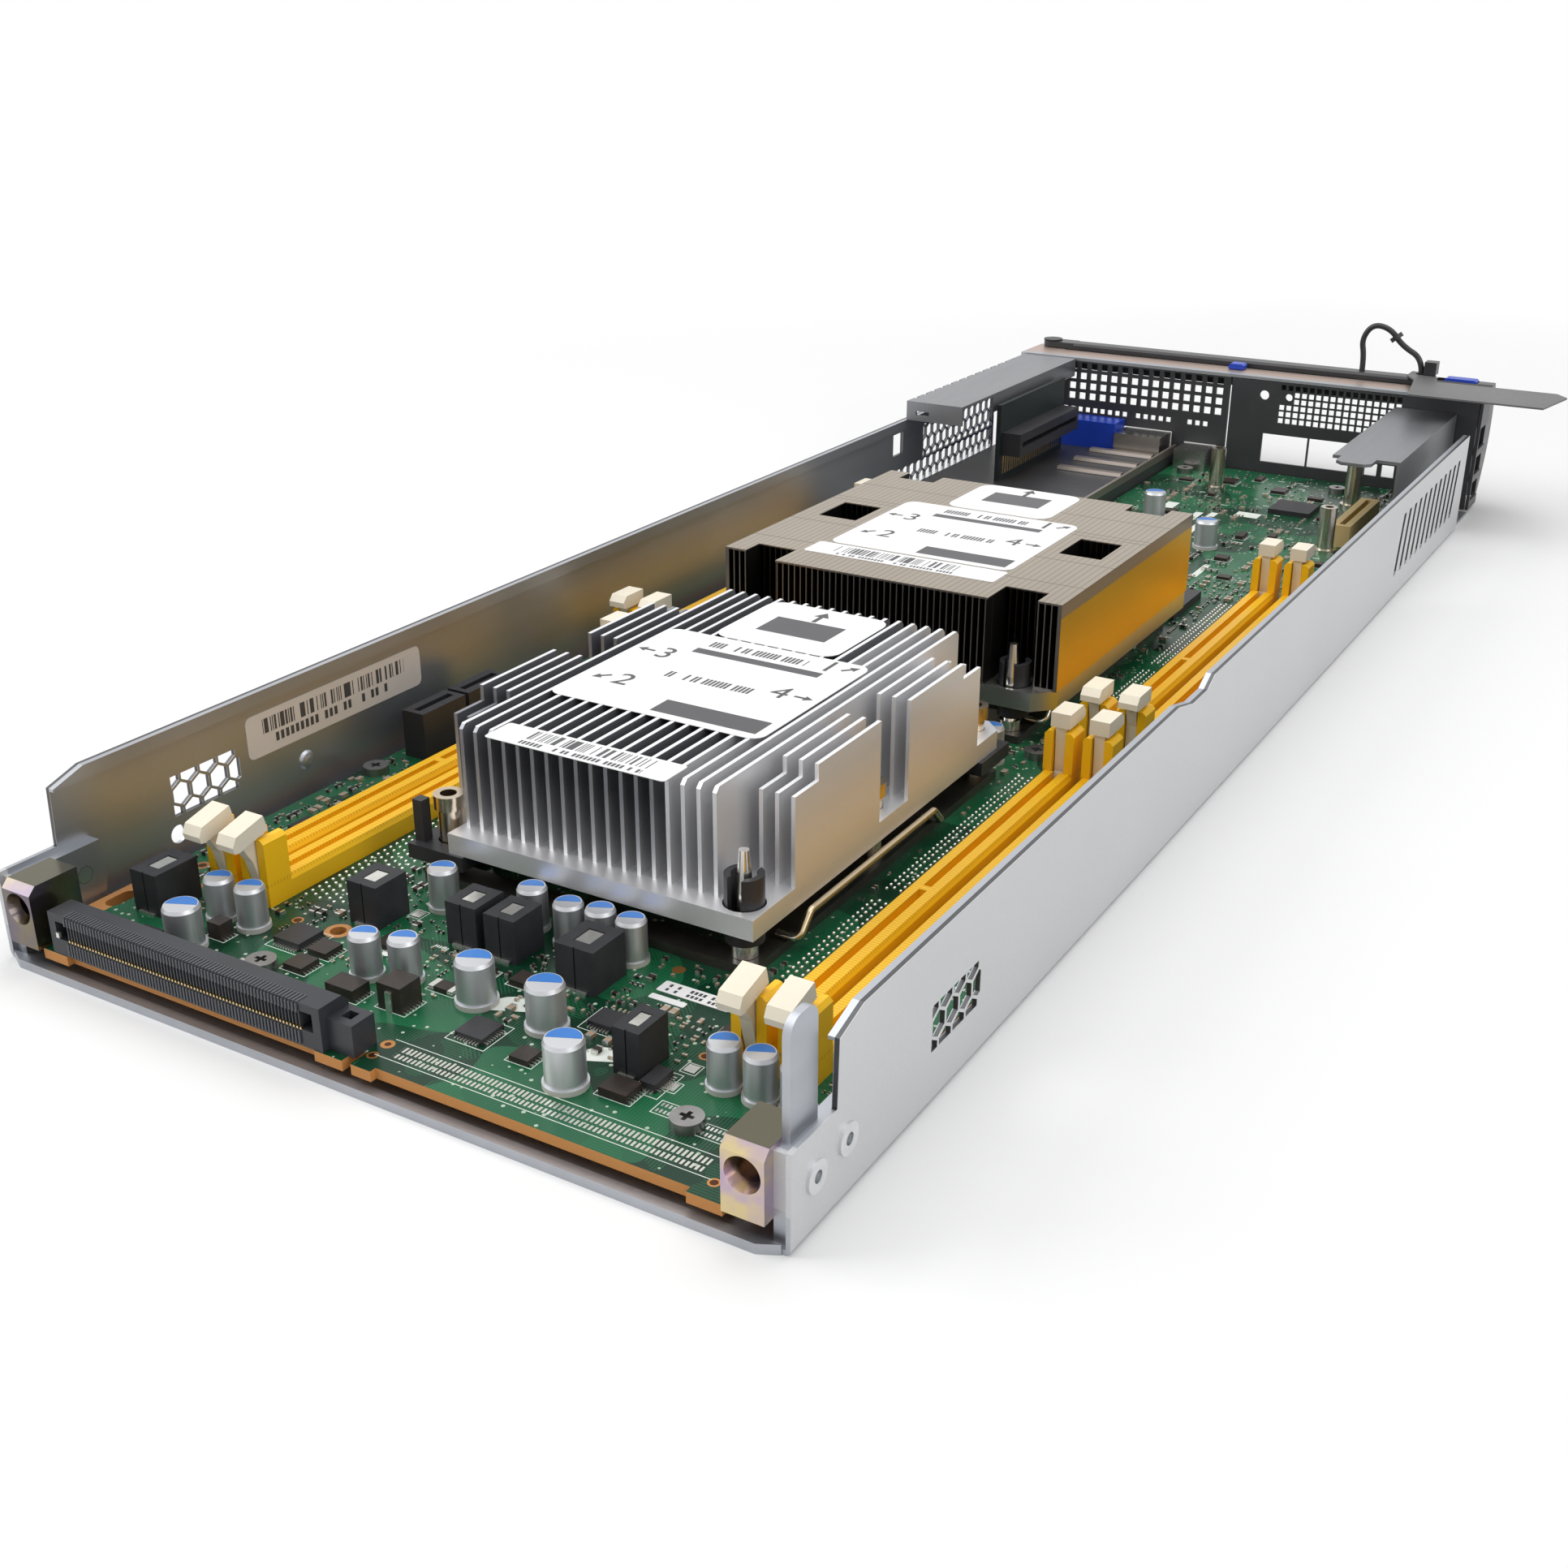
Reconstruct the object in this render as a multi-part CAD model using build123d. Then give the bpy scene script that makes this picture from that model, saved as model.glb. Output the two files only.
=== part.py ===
"""Multi node server sled: a half-width tray that carries one two-socket board.

Lengths are in millimetres. X runs across the sled, Y from the docking end to the far (port) end, Z up.
The solids are drawn with y = 0 at the tray's docking edge and z = 0 at its underside, and are moved
along Y as they are written, so that the origin is at the middle of the underside.
"""
from build123d import *
import math
import os

# Sheet-metal tray
SLED_WIDTH = 174.5
SHEET = 1.0
WALL_TOP = 32.6
TRAY_LENGTH = 466.0
WALL_SETBACK = 22.0
NOSE_HEIGHT = 18.2
NOSE_LENGTH = 12.4
SHOULDER_HEIGHT = 30.2
SHOULDER_LENGTH = 8.0
HEM_DEPTH = 3.0
HEM_THICK = 1.1
LIP_HEIGHT = 1.9
LIP_DEPTH = 3.0
LIP_CHAMFER = 3.5
BEND_RADIUS = 1.6
HALF_WIDTH = SLED_WIDTH / 2
WALL_INNER = HALF_WIDTH - SHEET
WALL_LENGTH = TRAY_LENGTH - WALL_SETBACK

# Clearances
SEAT_GAP = 0.3
RUNNING_GAP = 0.1

# Board
BOARD_TOP = 5.5
BOARD_THICK = 2.1
BOARD_EDGE_GAP = 3.75
BOARD_START = -0.4
BOARD_TAB_REACH = 1.3
BOARD_NOTCH_WIDTH = 2.0
BOARD_NOTCH_DEPTH = 4.0
RISER_CUT_X = -20.0
RISER_CUT_Y = 332.0
BOSS_RADIUS = 3.4
SCREW_HOLE_RADIUS = 1.7
SCREW_SHANK_RADIUS = 1.45
SCREW_HEAD_RADIUS = 2.9
SCREW_HEAD_HEIGHT = 1.9
EDGE_SCREW_INSET = 4.0
SLOT_HOLE_INSET = 3.4
SLOT_HOLE_Y = 19.5
SLOT_HOLE_LENGTH = 7.0
SLOT_HOLE_RADIUS = 1.7
ROUND_HOLE_X = -32.8
ROUND_HOLE_Y = 31.6
ROUND_HOLE_RADIUS = 1.6
BOARD_HALF_WIDTH = WALL_INNER - BOARD_EDGE_GAP
BOARD_BOTTOM = BOARD_TOP - BOARD_THICK
BOARD_END = TRAY_LENGTH
BOARD_SCREWS = [
    (-35.0, 14.0), (60.0, 12.5), (48.0, 178.0), (32.0 - BOARD_HALF_WIDTH, 176.0),
    (30.5 - BOARD_HALF_WIDTH, 300.0), (4.0, 330.0),
    (BOARD_HALF_WIDTH - EDGE_SCREW_INSET, 174.9), (BOARD_HALF_WIDTH - EDGE_SCREW_INSET, 330.0),
    (EDGE_SCREW_INSET - BOARD_HALF_WIDTH, 92.0), (44.0, BOARD_END - 14.0), (-12.0, BOARD_END - 14.0),
]

# Guide blocks at the docking end
BLOCK_PACKING = 2.65
BLOCK_WIDTH = 7.6
BLOCK_START = -2.6
BLOCK_END = 8.5
BLOCK_BOTTOM = 5.2
BLOCK_TOP = NOSE_HEIGHT - 0.1
BLOCK_CHAMFER = 1.6
GUIDE_HOLE_Z = 13.0
GUIDE_HOLE_RADIUS = 2.4
GUIDE_MOUTH_RADIUS = 3.2
GUIDE_MOUTH_DEPTH = 2.2
GUIDE_HOLE_DEPTH = 9.5
BRACKET_END = 20.0
BRACKET_TOP = NOSE_HEIGHT - 1.0
FINGER_START = 2.4
FINGER_END = 10.4
FINGER_TOP = 37.8
FINGER_THICK = 1.4
FINGER_ROUND = 3.0
RIVET_RADIUS = 2.8
RIVET_SHANK_RADIUS = 1.7
RIVET_HEAD = 0.5
RIVET_BORE = 1.1
RIVET_BORE_DEPTH = 1.5
RIVET_DEPTH = 0.9
RIVET_SPOTS = [(6.0, 10.3), (15.6, 11.2)]
BLOCK_OUTER_X = WALL_INNER - BLOCK_PACKING
BLOCK_INNER_X = BLOCK_OUTER_X - BLOCK_WIDTH

# Docking connector
DOCK_INSET = 5.0
DOCK_LENGTH = 64.6
DOCK_FRONT = -1.6
DOCK_DEPTH = 7.0
DOCK_HEIGHT = 8.6
DOCK_CHEEK = 1.8
DOCK_EAR_LENGTH = 7.5
DOCK_EAR_HEIGHT = 6.2
DOCK_EAR_SETBACK = 1.5
DOCK_POCKET = 2.2
DOCK_POCKET_DEPTH = 3.5
DOCK_SLOT_HEIGHT = 3.6
DOCK_SLOT_DEPTH = 4.6
DOCK_LIP = 1.6
DOCK_BEVEL = 1.5
DOCK_START_X = DOCK_INSET - BLOCK_INNER_X
DOCK_END_X = DOCK_START_X + DOCK_LENGTH
BOARD_NOTCH_X = DOCK_END_X + 6.0
LEFT_TAB_END = DOCK_START_X + 1.8
RIGHT_TAB_START = DOCK_END_X - 0.3
RIGHT_TAB_END = BOARD_NOTCH_X + 6.4

# Processors, their sockets, frames and clips
CPU_LENGTH = 76.0
CPU_WIDTH = 56.5
CPU_THICK = 2.4
CPU_LID_LENGTH = 58.0
CPU_LID_WIDTH = 40.0
SOCKET_HEIGHT = 2.6
SOCKET_MARGIN = 3.0
SINK_STAND = 8.5
HEATSINK_UNDERSIDE = BOARD_TOP + SINK_STAND
FRAME_BAR = 6.0
FRAME_THICK = 2.0
FRAME_EDGE = 4.2
FASTENER_X = 34.7
PAD_HALF = 3.2
CLIP_BAR = 4.0
CLIP_WIDTH = 62.0
CLIP_INSET = 4.3
CLIP_WALL = 1.3
CLIP_RISE = 10.3
CLIP_MOUTH = 3.0
CLIP_PLATE = 6.2
CLIP_POST_WIDTH = 2.4
CLIP_POST_HEIGHT = 9.0
NUT_RADIUS = 3.1
NUT_SLEEVE_RADIUS = 2.4
NUT_HEAD_HEIGHT = 3.0
NUT_STAND = 10.0
STUD_RADIUS = 1.6
PIN_RADIUS = 1.7
PIN_TIP_RADIUS = 1.0
PIN_STAND = 15.0
PIN_TAPER = 8.0
PIN_FOOT_RADIUS = 2.6
PIN_FOOT_HEIGHT = 2.6
WIRE_RADIUS = 0.8
WIRE_OUT = 2.4
WIRE_HEIGHT = 4.2
WIRE_SPAN = 60.0
NUT_TOP = HEATSINK_UNDERSIDE + NUT_STAND
PIN_TOP = HEATSINK_UNDERSIDE + PIN_STAND

# Near heatsink: one aluminium extrusion, cut away round its fasteners
NEAR_SINK_X = 5.9
NEAR_SINK_Y = 109.5
NEAR_SINK_WIDTH = 79.8
NEAR_SINK_LENGTH = 108.0
NEAR_SINK_BASE = 4.3
NEAR_FIN_HEIGHT = 21.9
NEAR_FIN_PITCH = 3.435
NEAR_FIN_COUNT = 24
NEAR_FIN_THICK = 0.85
NEAR_OUTER_COUNT = 3
NEAR_FIN_LENGTH = 99.0
NEAR_OUTER_FIN_LENGTH = 78.5
NEAR_SHOULDER_DROP = 3.4
NEAR_SHOULDER_LENGTH = 8.5
NEAR_WAIST = 12.4
NEAR_FASTENER_Y = 48.5
NEAR_PIN_HOLE_SHIFT = 0.0
NEAR_NOTCH_WIDTH = 9.1
NEAR_NOTCH_LENGTH = 11.5
NEAR_BASE_CORNER = 4.0
PIN_HOLE_RADIUS = 4.1
NEAR_SINK_TOP = HEATSINK_UNDERSIDE + NEAR_SINK_BASE + NEAR_FIN_HEIGHT

# Far heatsink: a plated base that carries a pack of folded fins
FAR_SINK_X = 2.4
FAR_SINK_Y = 232.2
FAR_SINK_WIDTH = 91.9
FAR_SINK_LENGTH = 90.4
FAR_BASE_LENGTH = 98.0
FAR_BASE_CORNER = 5.0
FAR_SINK_BASE = 4.6
FAR_FIN_HEIGHT = 21.6
FAR_TONGUE_WIDTH = 57.8
FAR_TONGUE_REACH = 3.8
FAR_FIN_PITCH = 1.671
FAR_FIN_THICK = 0.3
FAR_FOLD_THICK = 0.5
FAR_POCKET_WIDTH = 11.0
FAR_POCKET_DEPTH = 6.6
FAR_WINDOW_LENGTH = 14.8
FAR_WINDOW_WIDTH = 11.2
FAR_FASTENER_Y = 45.7
FAR_PIN_HOLE_SHIFT = 1.6
FAR_SINK_TOP = HEATSINK_UNDERSIDE + FAR_SINK_BASE + FAR_FIN_HEIGHT

# Memory sockets and their latches
SLOT_PITCH = 9.1
SLOT_WIDTH = 6.95
RAIL_HEIGHT = 4.9
RAIL_BEVEL = 0.6
RAIL_GROOVE = 1.7
GROOVE_FLOOR = 1.3
KEY_BRIDGE = 1.8
KEY_OFFSET = 58.0
BANK_LENGTH = 124.0
TOWER_DEPTH = 6.1
TOWER_HEIGHT = 14.5
TOWER_CHAMFER = 0.8
TOWER_WEB = 0.5
LATCH_BLADE = 2.4
LATCH_FOOT_RADIUS = 2.2
LATCH_PIVOT_HEIGHT = 3.1
LATCH_TRUNNION_RADIUS = 1.2
LATCH_TRUNNION_REACH = 1.4
LATCH_HEAD_WIDTH = 4.6
LATCH_HEAD_OUTWARD = 6.1
LATCH_HEAD_INWARD = 2.8
LATCH_HEAD_HEIGHT = 3.4
LATCH_HEAD_LIFT = 0.9
LATCH_SWING = 14.0
RIGHT_BANK_X = 68.8
NEAR_BANK_Y = 37.7
FAR_BANK_Y = 188.0
BANKS = {
    "a": (RIGHT_BANK_X, NEAR_BANK_Y, True),
    "b": (RIGHT_BANK_X, FAR_BANK_Y, False),
    "c": (28.5 - BOARD_HALF_WIDTH, NEAR_BANK_Y, True),
    "d": (19.1 - BOARD_HALF_WIDTH, FAR_BANK_Y, False),
}
RAIL_TOP = BOARD_TOP + RAIL_HEIGHT
TOWER_TOP = BOARD_TOP + TOWER_HEIGHT
LATCH_PIVOT_Z = BOARD_TOP + LATCH_PIVOT_HEIGHT

# Port end: everything there is placed back from the panel
PANEL_Y = TRAY_LENGTH + SHEET

# Loose board parts
SMALL_CAN_RADIUS = 3.3
LARGE_CAN_RADIUS = 4.0
CAN_HEIGHT = 9.0
CAN_FOOT = 1.0
CAN_ROUND = 0.7
SMALL_CANS = [
    (-21.5, 49.5), (-16.3, 21.9), (-9.0, 24.3), (8.3, 50.4), (22.1, 51.2), (59.2, 24.9), (66.2, 24.9),
    (73.2, 24.9), (-55.8, 24.3), (-47.8, 24.6), (-1.5, 52.0), (14.9, 51.5), (-28.8, 172.0), (39.8, 170.0),
]
LARGE_CANS = [
    (6.9, 24.9), (22.8, 24.6), (36.4, 12.0), (-53.0, 12.5), (-0.5, PANEL_Y - 79.0), (25.9, PANEL_Y - 104.2),
]
CHOKE_HEIGHT = 9.0
CHOKE_RECESS = 0.6
CHOKE_SEAM = 0.3
CHOKES = [
    (-29.8, 40.0, 7.4, 8.6), (-8.1, 43.0, 7.2, 8.4), (1.2, 42.8, 7.2, 8.4), (19.8, 41.6, 8.6, 9.8),
    (43.7, 23.2, 5.4, 8.5), (-69.4, 23.0, 7.0, 10.5),
]
CHIPS = [
    (-62.0, 10.5, 5.0, 5.0, 1.4), (-36.5, 25.0, 6.5, 6.5, 1.6), (14.0, 17.0, 6.0, 6.0, 1.2),
    (31.0, 31.0, 5.0, 5.0, 1.2), (-70.4, 62.0, 6.0, 6.0, 1.2), (49.0, 20.0, 3.0, 5.5, 1.6),
    (30.0, 300.0, 24.0, 24.0, 2.2), (10.0, 300.0, 9.0, 9.0, 1.4), (38.0, PANEL_Y - 47.0, 14.0, 14.0, 1.6),
]
EDGE_SOCKET_INSET = 6.3
EDGE_SOCKET_COUNT = 2
EDGE_SOCKET_WIDTH = 6.4
EDGE_SOCKET_HEIGHT = 11.5
EDGE_SOCKET_LENGTH = 15.0
EDGE_SOCKET_GAP = 1.2
EDGE_SOCKET_START = 103.0
EDGE_SOCKET_SLOT = 1.8
EDGE_SOCKET_WALL = 1.5
EDGE_SOCKET_FLOOR = 3.0
STANDOFF_RADIUS = 2.6
STANDOFF_FLANGE_RADIUS = 3.6
STANDOFF_FLANGE = 1.0
STANDOFF_BORE = 1.3
STANDOFF_BORE_DEPTH = 8.0
STANDOFF_HEIGHT = 14.5
STANDOFFS = [(5.0, PANEL_Y - 31.0), (60.0, PANEL_Y - 89.0), (53.0, PANEL_Y - 31.0)]
MEZZ_X = 62.5
MEZZ_WIDTH = 6.2
MEZZ_SETBACK = 82.0
MEZZ_LENGTH = 38.0
MEZZ_HEIGHT = 7.0
MEZZ_SLOT = 1.8
MEZZ_WALL = 2.0

# Riser corner at the far left
SHELF_TOP = 9.0
SHELF_START = 334.0
SHELF_INNER_X = RISER_CUT_X - 0.6
SHELF_WALL_GAP = 1.75
SHELF_RIM = 3.0
SHELF_RIB_HEIGHT = 1.4
SHELF_RIB_WIDTH = 2.6
SHELF_RIB_FLARE = 0.8
SHELF_RIB_INSET = 12.0
SHELF_RIB_END = 3.0
SHELF_RIB_SETBACKS = [46.5, 31.0, 15.5]
CAGE_HEIGHT = 30.6
CAGE_SETBACK = 100.0
CAGE_WIDTH = 21.0
CAGE_FLANGE = 6.5
CAGE_LEG_LENGTH = 14.0
CAGE_SLOT_INSET = 3.5
CAGE_SLOT_LENGTH = 5.0
CAGE_SLOT_DROP = 3.2
CAGE_SLOT_HEIGHT = 1.4
SCALLOP_COUNT = 14
SCALLOP_RADIUS = 1.3
CARD_INSET = 2.5
CARD_THICK = 1.6
CARD_SETBACK = 75.0
CARD_LENGTH = 57.0
CARD_HEIGHT = 27.0
CARD_SLOT_HEIGHT = 8.0
CARD_SLOT_DEPTH = 7.0
CARD_SLOT_LIFT = 9.0
CARD_SLOT_MOUTH = 1.8
CARD_SLOT_MOUTH_DEPTH = 5.0
CARD_SLOT_END = 2.0
SHELF_OUTER_X = SHELF_WALL_GAP - WALL_INNER
CAGE_INNER_X = SHELF_OUTER_X + CAGE_WIDTH
CAGE_TOP = SHELF_TOP + CAGE_HEIGHT
CAGE_START = PANEL_Y - CAGE_SETBACK
CARD_X = CAGE_INNER_X + CARD_INSET
CARD_START = PANEL_Y - CARD_SETBACK
CARD_END = CARD_START + CARD_LENGTH

# Port panel and card panel at the far end
PANEL_TOP = 40.0
PANEL_BOTTOM = SHEET + 0.4
PANEL_SEAM_X = -2.4
PANEL_SEAM_GAP = 0.6
FLANGE_REACH = 12.0
EAR_WINDOW_WIDTH = 12.0
EAR_WINDOWS = [(4.5, 11.0), (13.5, 20.0), (22.5, 30.0)]
PORT_HOLE = 2.6
PORT_PITCH_X = 4.12
PORT_PITCH_Z = 3.75
PORT_COLUMN_COUNT = 15
PORT_ROW_COUNT = 4
PORT_FIRST_X = -64.2
PORT_TOP_Z = PANEL_TOP - 3.0
SMALL_HOLE = 1.9
SMALL_PITCH = 3.0
SMALL_ROW_Z = PANEL_TOP - 19.4
SMALL_ROW_COUNTS = [(-72.5, 11), (-37.2, 5), (-16.9, 3)]
CARD_HOLE = 1.9
CARD_PITCH_X = 2.57
CARD_PITCH_Z = 2.4
CARD_COLUMN_COUNT = 17
CARD_ROW_COUNT = 6
CARD_FIRST_X = 16.9
CARD_TOP_Z = PANEL_TOP - 3.0
CARD_WINDOWS = [(11.0, 16.6), (28.2, 16.2)]
CARD_WINDOW_BOTTOM = BOARD_TOP + 3.9
CARD_WINDOW_HEIGHT = 10.4
SMALL_WINDOW = 4.4
SMALL_WINDOWS = [(49.0, 9.2), (55.0, 9.2), (49.0, 14.8), (55.0, 14.8)]
ROUND_HOLE_Z = PANEL_TOP - 6.4
ROUND_HOLES = [(10.2, ROUND_HOLE_Z, 1.7), (19.2, ROUND_HOLE_Z, 1.3)]
ROUND_HOLE_MARGIN = 1.6
VGA_X = -56.8
VGA_WIDTH = 29.6
VGA_HEIGHT = 10.0
VGA_DEPTH = 10.5
VGA_CUT_HEIGHT = 7.2
VGA_SHELL_BOTTOM = 16.8
VGA_SHELL_TOP = 18.4
VGA_SHELL_HEIGHT = 5.4
VGA_SHELL_LIFT = 1.2
VGA_SHELL_REACH = 4.0
CAGE_WALL = 0.8
PORT_CAGES = [(-32.6, 18.0, 13.0, 7.0), (-12.2, 12.0, 12.0, 7.4)]
EAR_INNER_X = WALL_INNER - SHEET
CARD_PANEL_END = EAR_INNER_X - SEAT_GAP

# Right far bracket
WING_WALL_GAP = 8.25
WING_WIDTH = 21.0
WING_TOP = WALL_TOP + 2.0
WING_SETBACK = 81.0
WING_TONGUE_INSET = 2.7
WING_TONGUE_WIDTH = 11.0
WING_TONGUE_REACH = 8.0
WING_TONGUE_CORNER = 2.0
WING_X = WALL_INNER - WING_WALL_GAP
WING_INNER_X = WING_X - WING_WIDTH
WING_START = PANEL_Y - WING_SETBACK

# Perforations of the tray walls
HEX_FLATS = 4.5
HEX_WEB = 0.6
HEX_KEEP = 0.18
NEAR_VENT_LENGTH = 18.6
NEAR_VENT_HEIGHT = 8.9
LEFT_VENT_START = 41.0
LEFT_VENT_BOTTOM = 12.9
RIGHT_VENT_START = 44.0
RIGHT_VENT_BOTTOM = 10.6
FAR_VENT_INSET = 2.0
FAR_VENT_LENGTH = 81.0
FAR_VENT_SHORT = 58.0
FAR_VENT_BOTTOM = 4.8
FAR_VENT_MIDDLE = 15.6
FAR_VENT_TOP = WALL_TOP - 4.6
SIDE_WINDOW_LENGTH = 7.0
SIDE_WINDOW_BOTTOM = 21.0
SIDE_WINDOW_HEIGHT = 7.5
PEEP_HOLE_Y = 41.2
PEEP_HOLE_Z = 8.9
PEEP_HOLE_RADIUS = 2.0
LOUVRE_INSET = 14.0
LOUVRE_LENGTH = 77.0
LOUVRE_COUNT = 12
LOUVRE_WIDTH = 3.0
LOUVRE_BOTTOM = 8.0
LOUVRE_TOP = 26.5
LOUVRE_LEAN = 4.0
WALL_DIP_START = 158.5
WALL_DIP_LENGTH = 23.0
WALL_DIP_DEPTH = 2.2
FAR_VENT_END = WALL_LENGTH - FAR_VENT_INSET
FAR_VENT_START = FAR_VENT_END - FAR_VENT_LENGTH
LOUVRE_END = WALL_LENGTH - LOUVRE_INSET
LOUVRE_START = LOUVRE_END - LOUVRE_LENGTH

# Ejector lever
BAR_DEPTH = 7.0
BAR_SETBACK = 1.0
BAR_LIFT = 2.4
BAR_HEIGHT = 9.3
BAR_WALL = 1.6
PIVOT_INSET = 6.75
PIVOT_RADIUS = 2.2
PIVOT_HEAD_RADIUS = 3.6
PIVOT_HEAD = 0.9
KNUCKLE_LENGTH = 16.0
POST_INSET = 6.25
POST_THICK = 4.6
POST_BOTTOM = 3.0
POST_BULGE = 5.0
POST_FOOT = 6.0
POST_ROUND = 2.0
TAB_INSET = 12.0
TAB_LENGTH = 11.0
TAB_DEPTH = BAR_DEPTH - 2.4
TAB_HEIGHT = 3.4
TAB_RISE = 0.9
TAB_TRAVEL = 2.5
TAB_CHAMFER = 0.6
CATCH_X = -6.5
CATCH_WIDTH = 5.6
CATCH_DEPTH = 4.6
CATCH_HEIGHT = 1.9
CATCH_TRAVEL = 3.0
CATCH_SETBACK = 0.8
CATCH_CHAMFER = 0.7
FLANGE_END = PANEL_Y + SHEET + FLANGE_REACH
BAR_Y = FLANGE_END + BAR_SETBACK + BAR_DEPTH / 2
BAR_FAR = BAR_Y + BAR_DEPTH / 2
BAR_TOP = PANEL_TOP + BAR_LIFT
BAR_BOTTOM = BAR_TOP - BAR_HEIGHT
PIVOT_X = PIVOT_INSET - HALF_WIDTH
POST_X = HALF_WIDTH - POST_INSET
TAB_START = POST_X - TAB_INSET
CATCH_Y = FLANGE_END - CATCH_SETBACK - CATCH_DEPTH

# Tag on its nylon tie: the route runs over the bar, as x and height above it
TIE_DIAMETER = 2.0
TIE_POINTS = [
    (39.7, 0.0), (39.7, 5.4), (38.2, 11.4), (41.6, 16.9), (48.0, 15.7), (52.6, 10.2), (60.5, 6.2), (60.5, 0.0),
]
TIE_ROUTE = [(x, BAR_Y, BAR_TOP + rise) for x, rise in TIE_POINTS]
BEAD_SHARE = 0.5
BEAD_LENGTH = 1.6
BEAD_RADIUS = 2.3
BUCKLE_LENGTH = 4.2
BUCKLE_DEPTH = 4.6
BUCKLE_HEIGHT = 4.4
TAG_THICK = 0.6
TAG_WIDTH = 26.0
TAG_START_X = 56.5
TAG_TAIL_HALF = 4.0
TAG_NECK = 8.0
TAG_OFFSET = 11.0
TAG_HOLE_RADIUS = 1.8
TAG_TIP = 5.0
TAG_LENGTH = 55.5
TAG_CORNER = 4.0
TAG_LIFT = 0.4
BUCKLE_BOTTOM = BAR_TOP + TAG_LIFT + TAG_THICK + SEAT_GAP

TIED_NODES = ("tag_tie", "tie_beads", "tag")
BIG = 2 * SLED_WIDTH


def block(x0, x1, y0, y1, z0, z1):
    """A box given by its low and high corners."""
    size = Box(x1 - x0, y1 - y0, z1 - z0)
    return Pos((x0 + x1) / 2, (y0 + y1) / 2, (z0 + z1) / 2) * size


def post(x, y, z0, z1, radius):
    """An upright cylinder between two heights."""
    return Pos(x, y, (z0 + z1) / 2) * Cylinder(radius, z1 - z0)


def cross_pin(x0, x1, y, z, radius):
    """A cylinder along X between two places."""
    return Pos((x0 + x1) / 2, y, z) * Rot(0, 90, 0) * Cylinder(radius, x1 - x0)


def outline(*points):
    """A flat face inside the closed line through the points."""
    return make_face(Polyline(*points, close=True))


def side_plate(face, x0, x1):
    """A face drawn as (y, z), thickened from x0 to x1."""
    return Pos(x0, 0, 0) * extrude(Plane.YZ * face, x1 - x0)


def cross_plate(face, y0, y1):
    """A face drawn as (x, z), thickened from y0 to y1."""
    return Pos(0, y1, 0) * extrude(Plane.XZ * face, y1 - y0)


def flat_plate(face, z0, z1):
    """A face drawn as (x, y), thickened from z0 to z1."""
    return Pos(0, 0, z0) * extrude(face, z1 - z0)


def square_at(x, z, size):
    """A square hole of a panel."""
    return Pos(x, z) * Rectangle(size, size)


def window(x0, x1, z0, z1):
    """A rectangular hole of a panel."""
    return Pos((x0 + x1) / 2, (z0 + z1) / 2) * Rectangle(x1 - x0, z1 - z0)


def honeycomb(y0, y1, z0, z1):
    """Hexagonal holes with thin webs that fill a rectangle of a wall, cut off square at its edges."""
    reach = HEX_FLATS / math.sqrt(3)
    pitch = HEX_FLATS + HEX_WEB
    row_pitch = pitch * math.sqrt(3) / 2
    field = window(y0, y1, z0, z1)
    holes = []
    for row in range(int((z1 - z0) / row_pitch) + 2):
        shift = pitch / 2 if row % 2 else 0
        for column in range(int((y1 - y0) / pitch) + 2):
            centre = Pos(y0 + column * pitch + shift, z0 + row * row_pitch)
            hexagon = centre * Rot(0, 0, 30) * RegularPolygon(reach, 6)
            clipped = field & hexagon
            area = sum(face.area for face in clipped.faces()) if clipped is not None else 0
            if area > HEX_KEEP * HEX_FLATS * reach:
                holes.append(clipped)
    return holes


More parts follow.
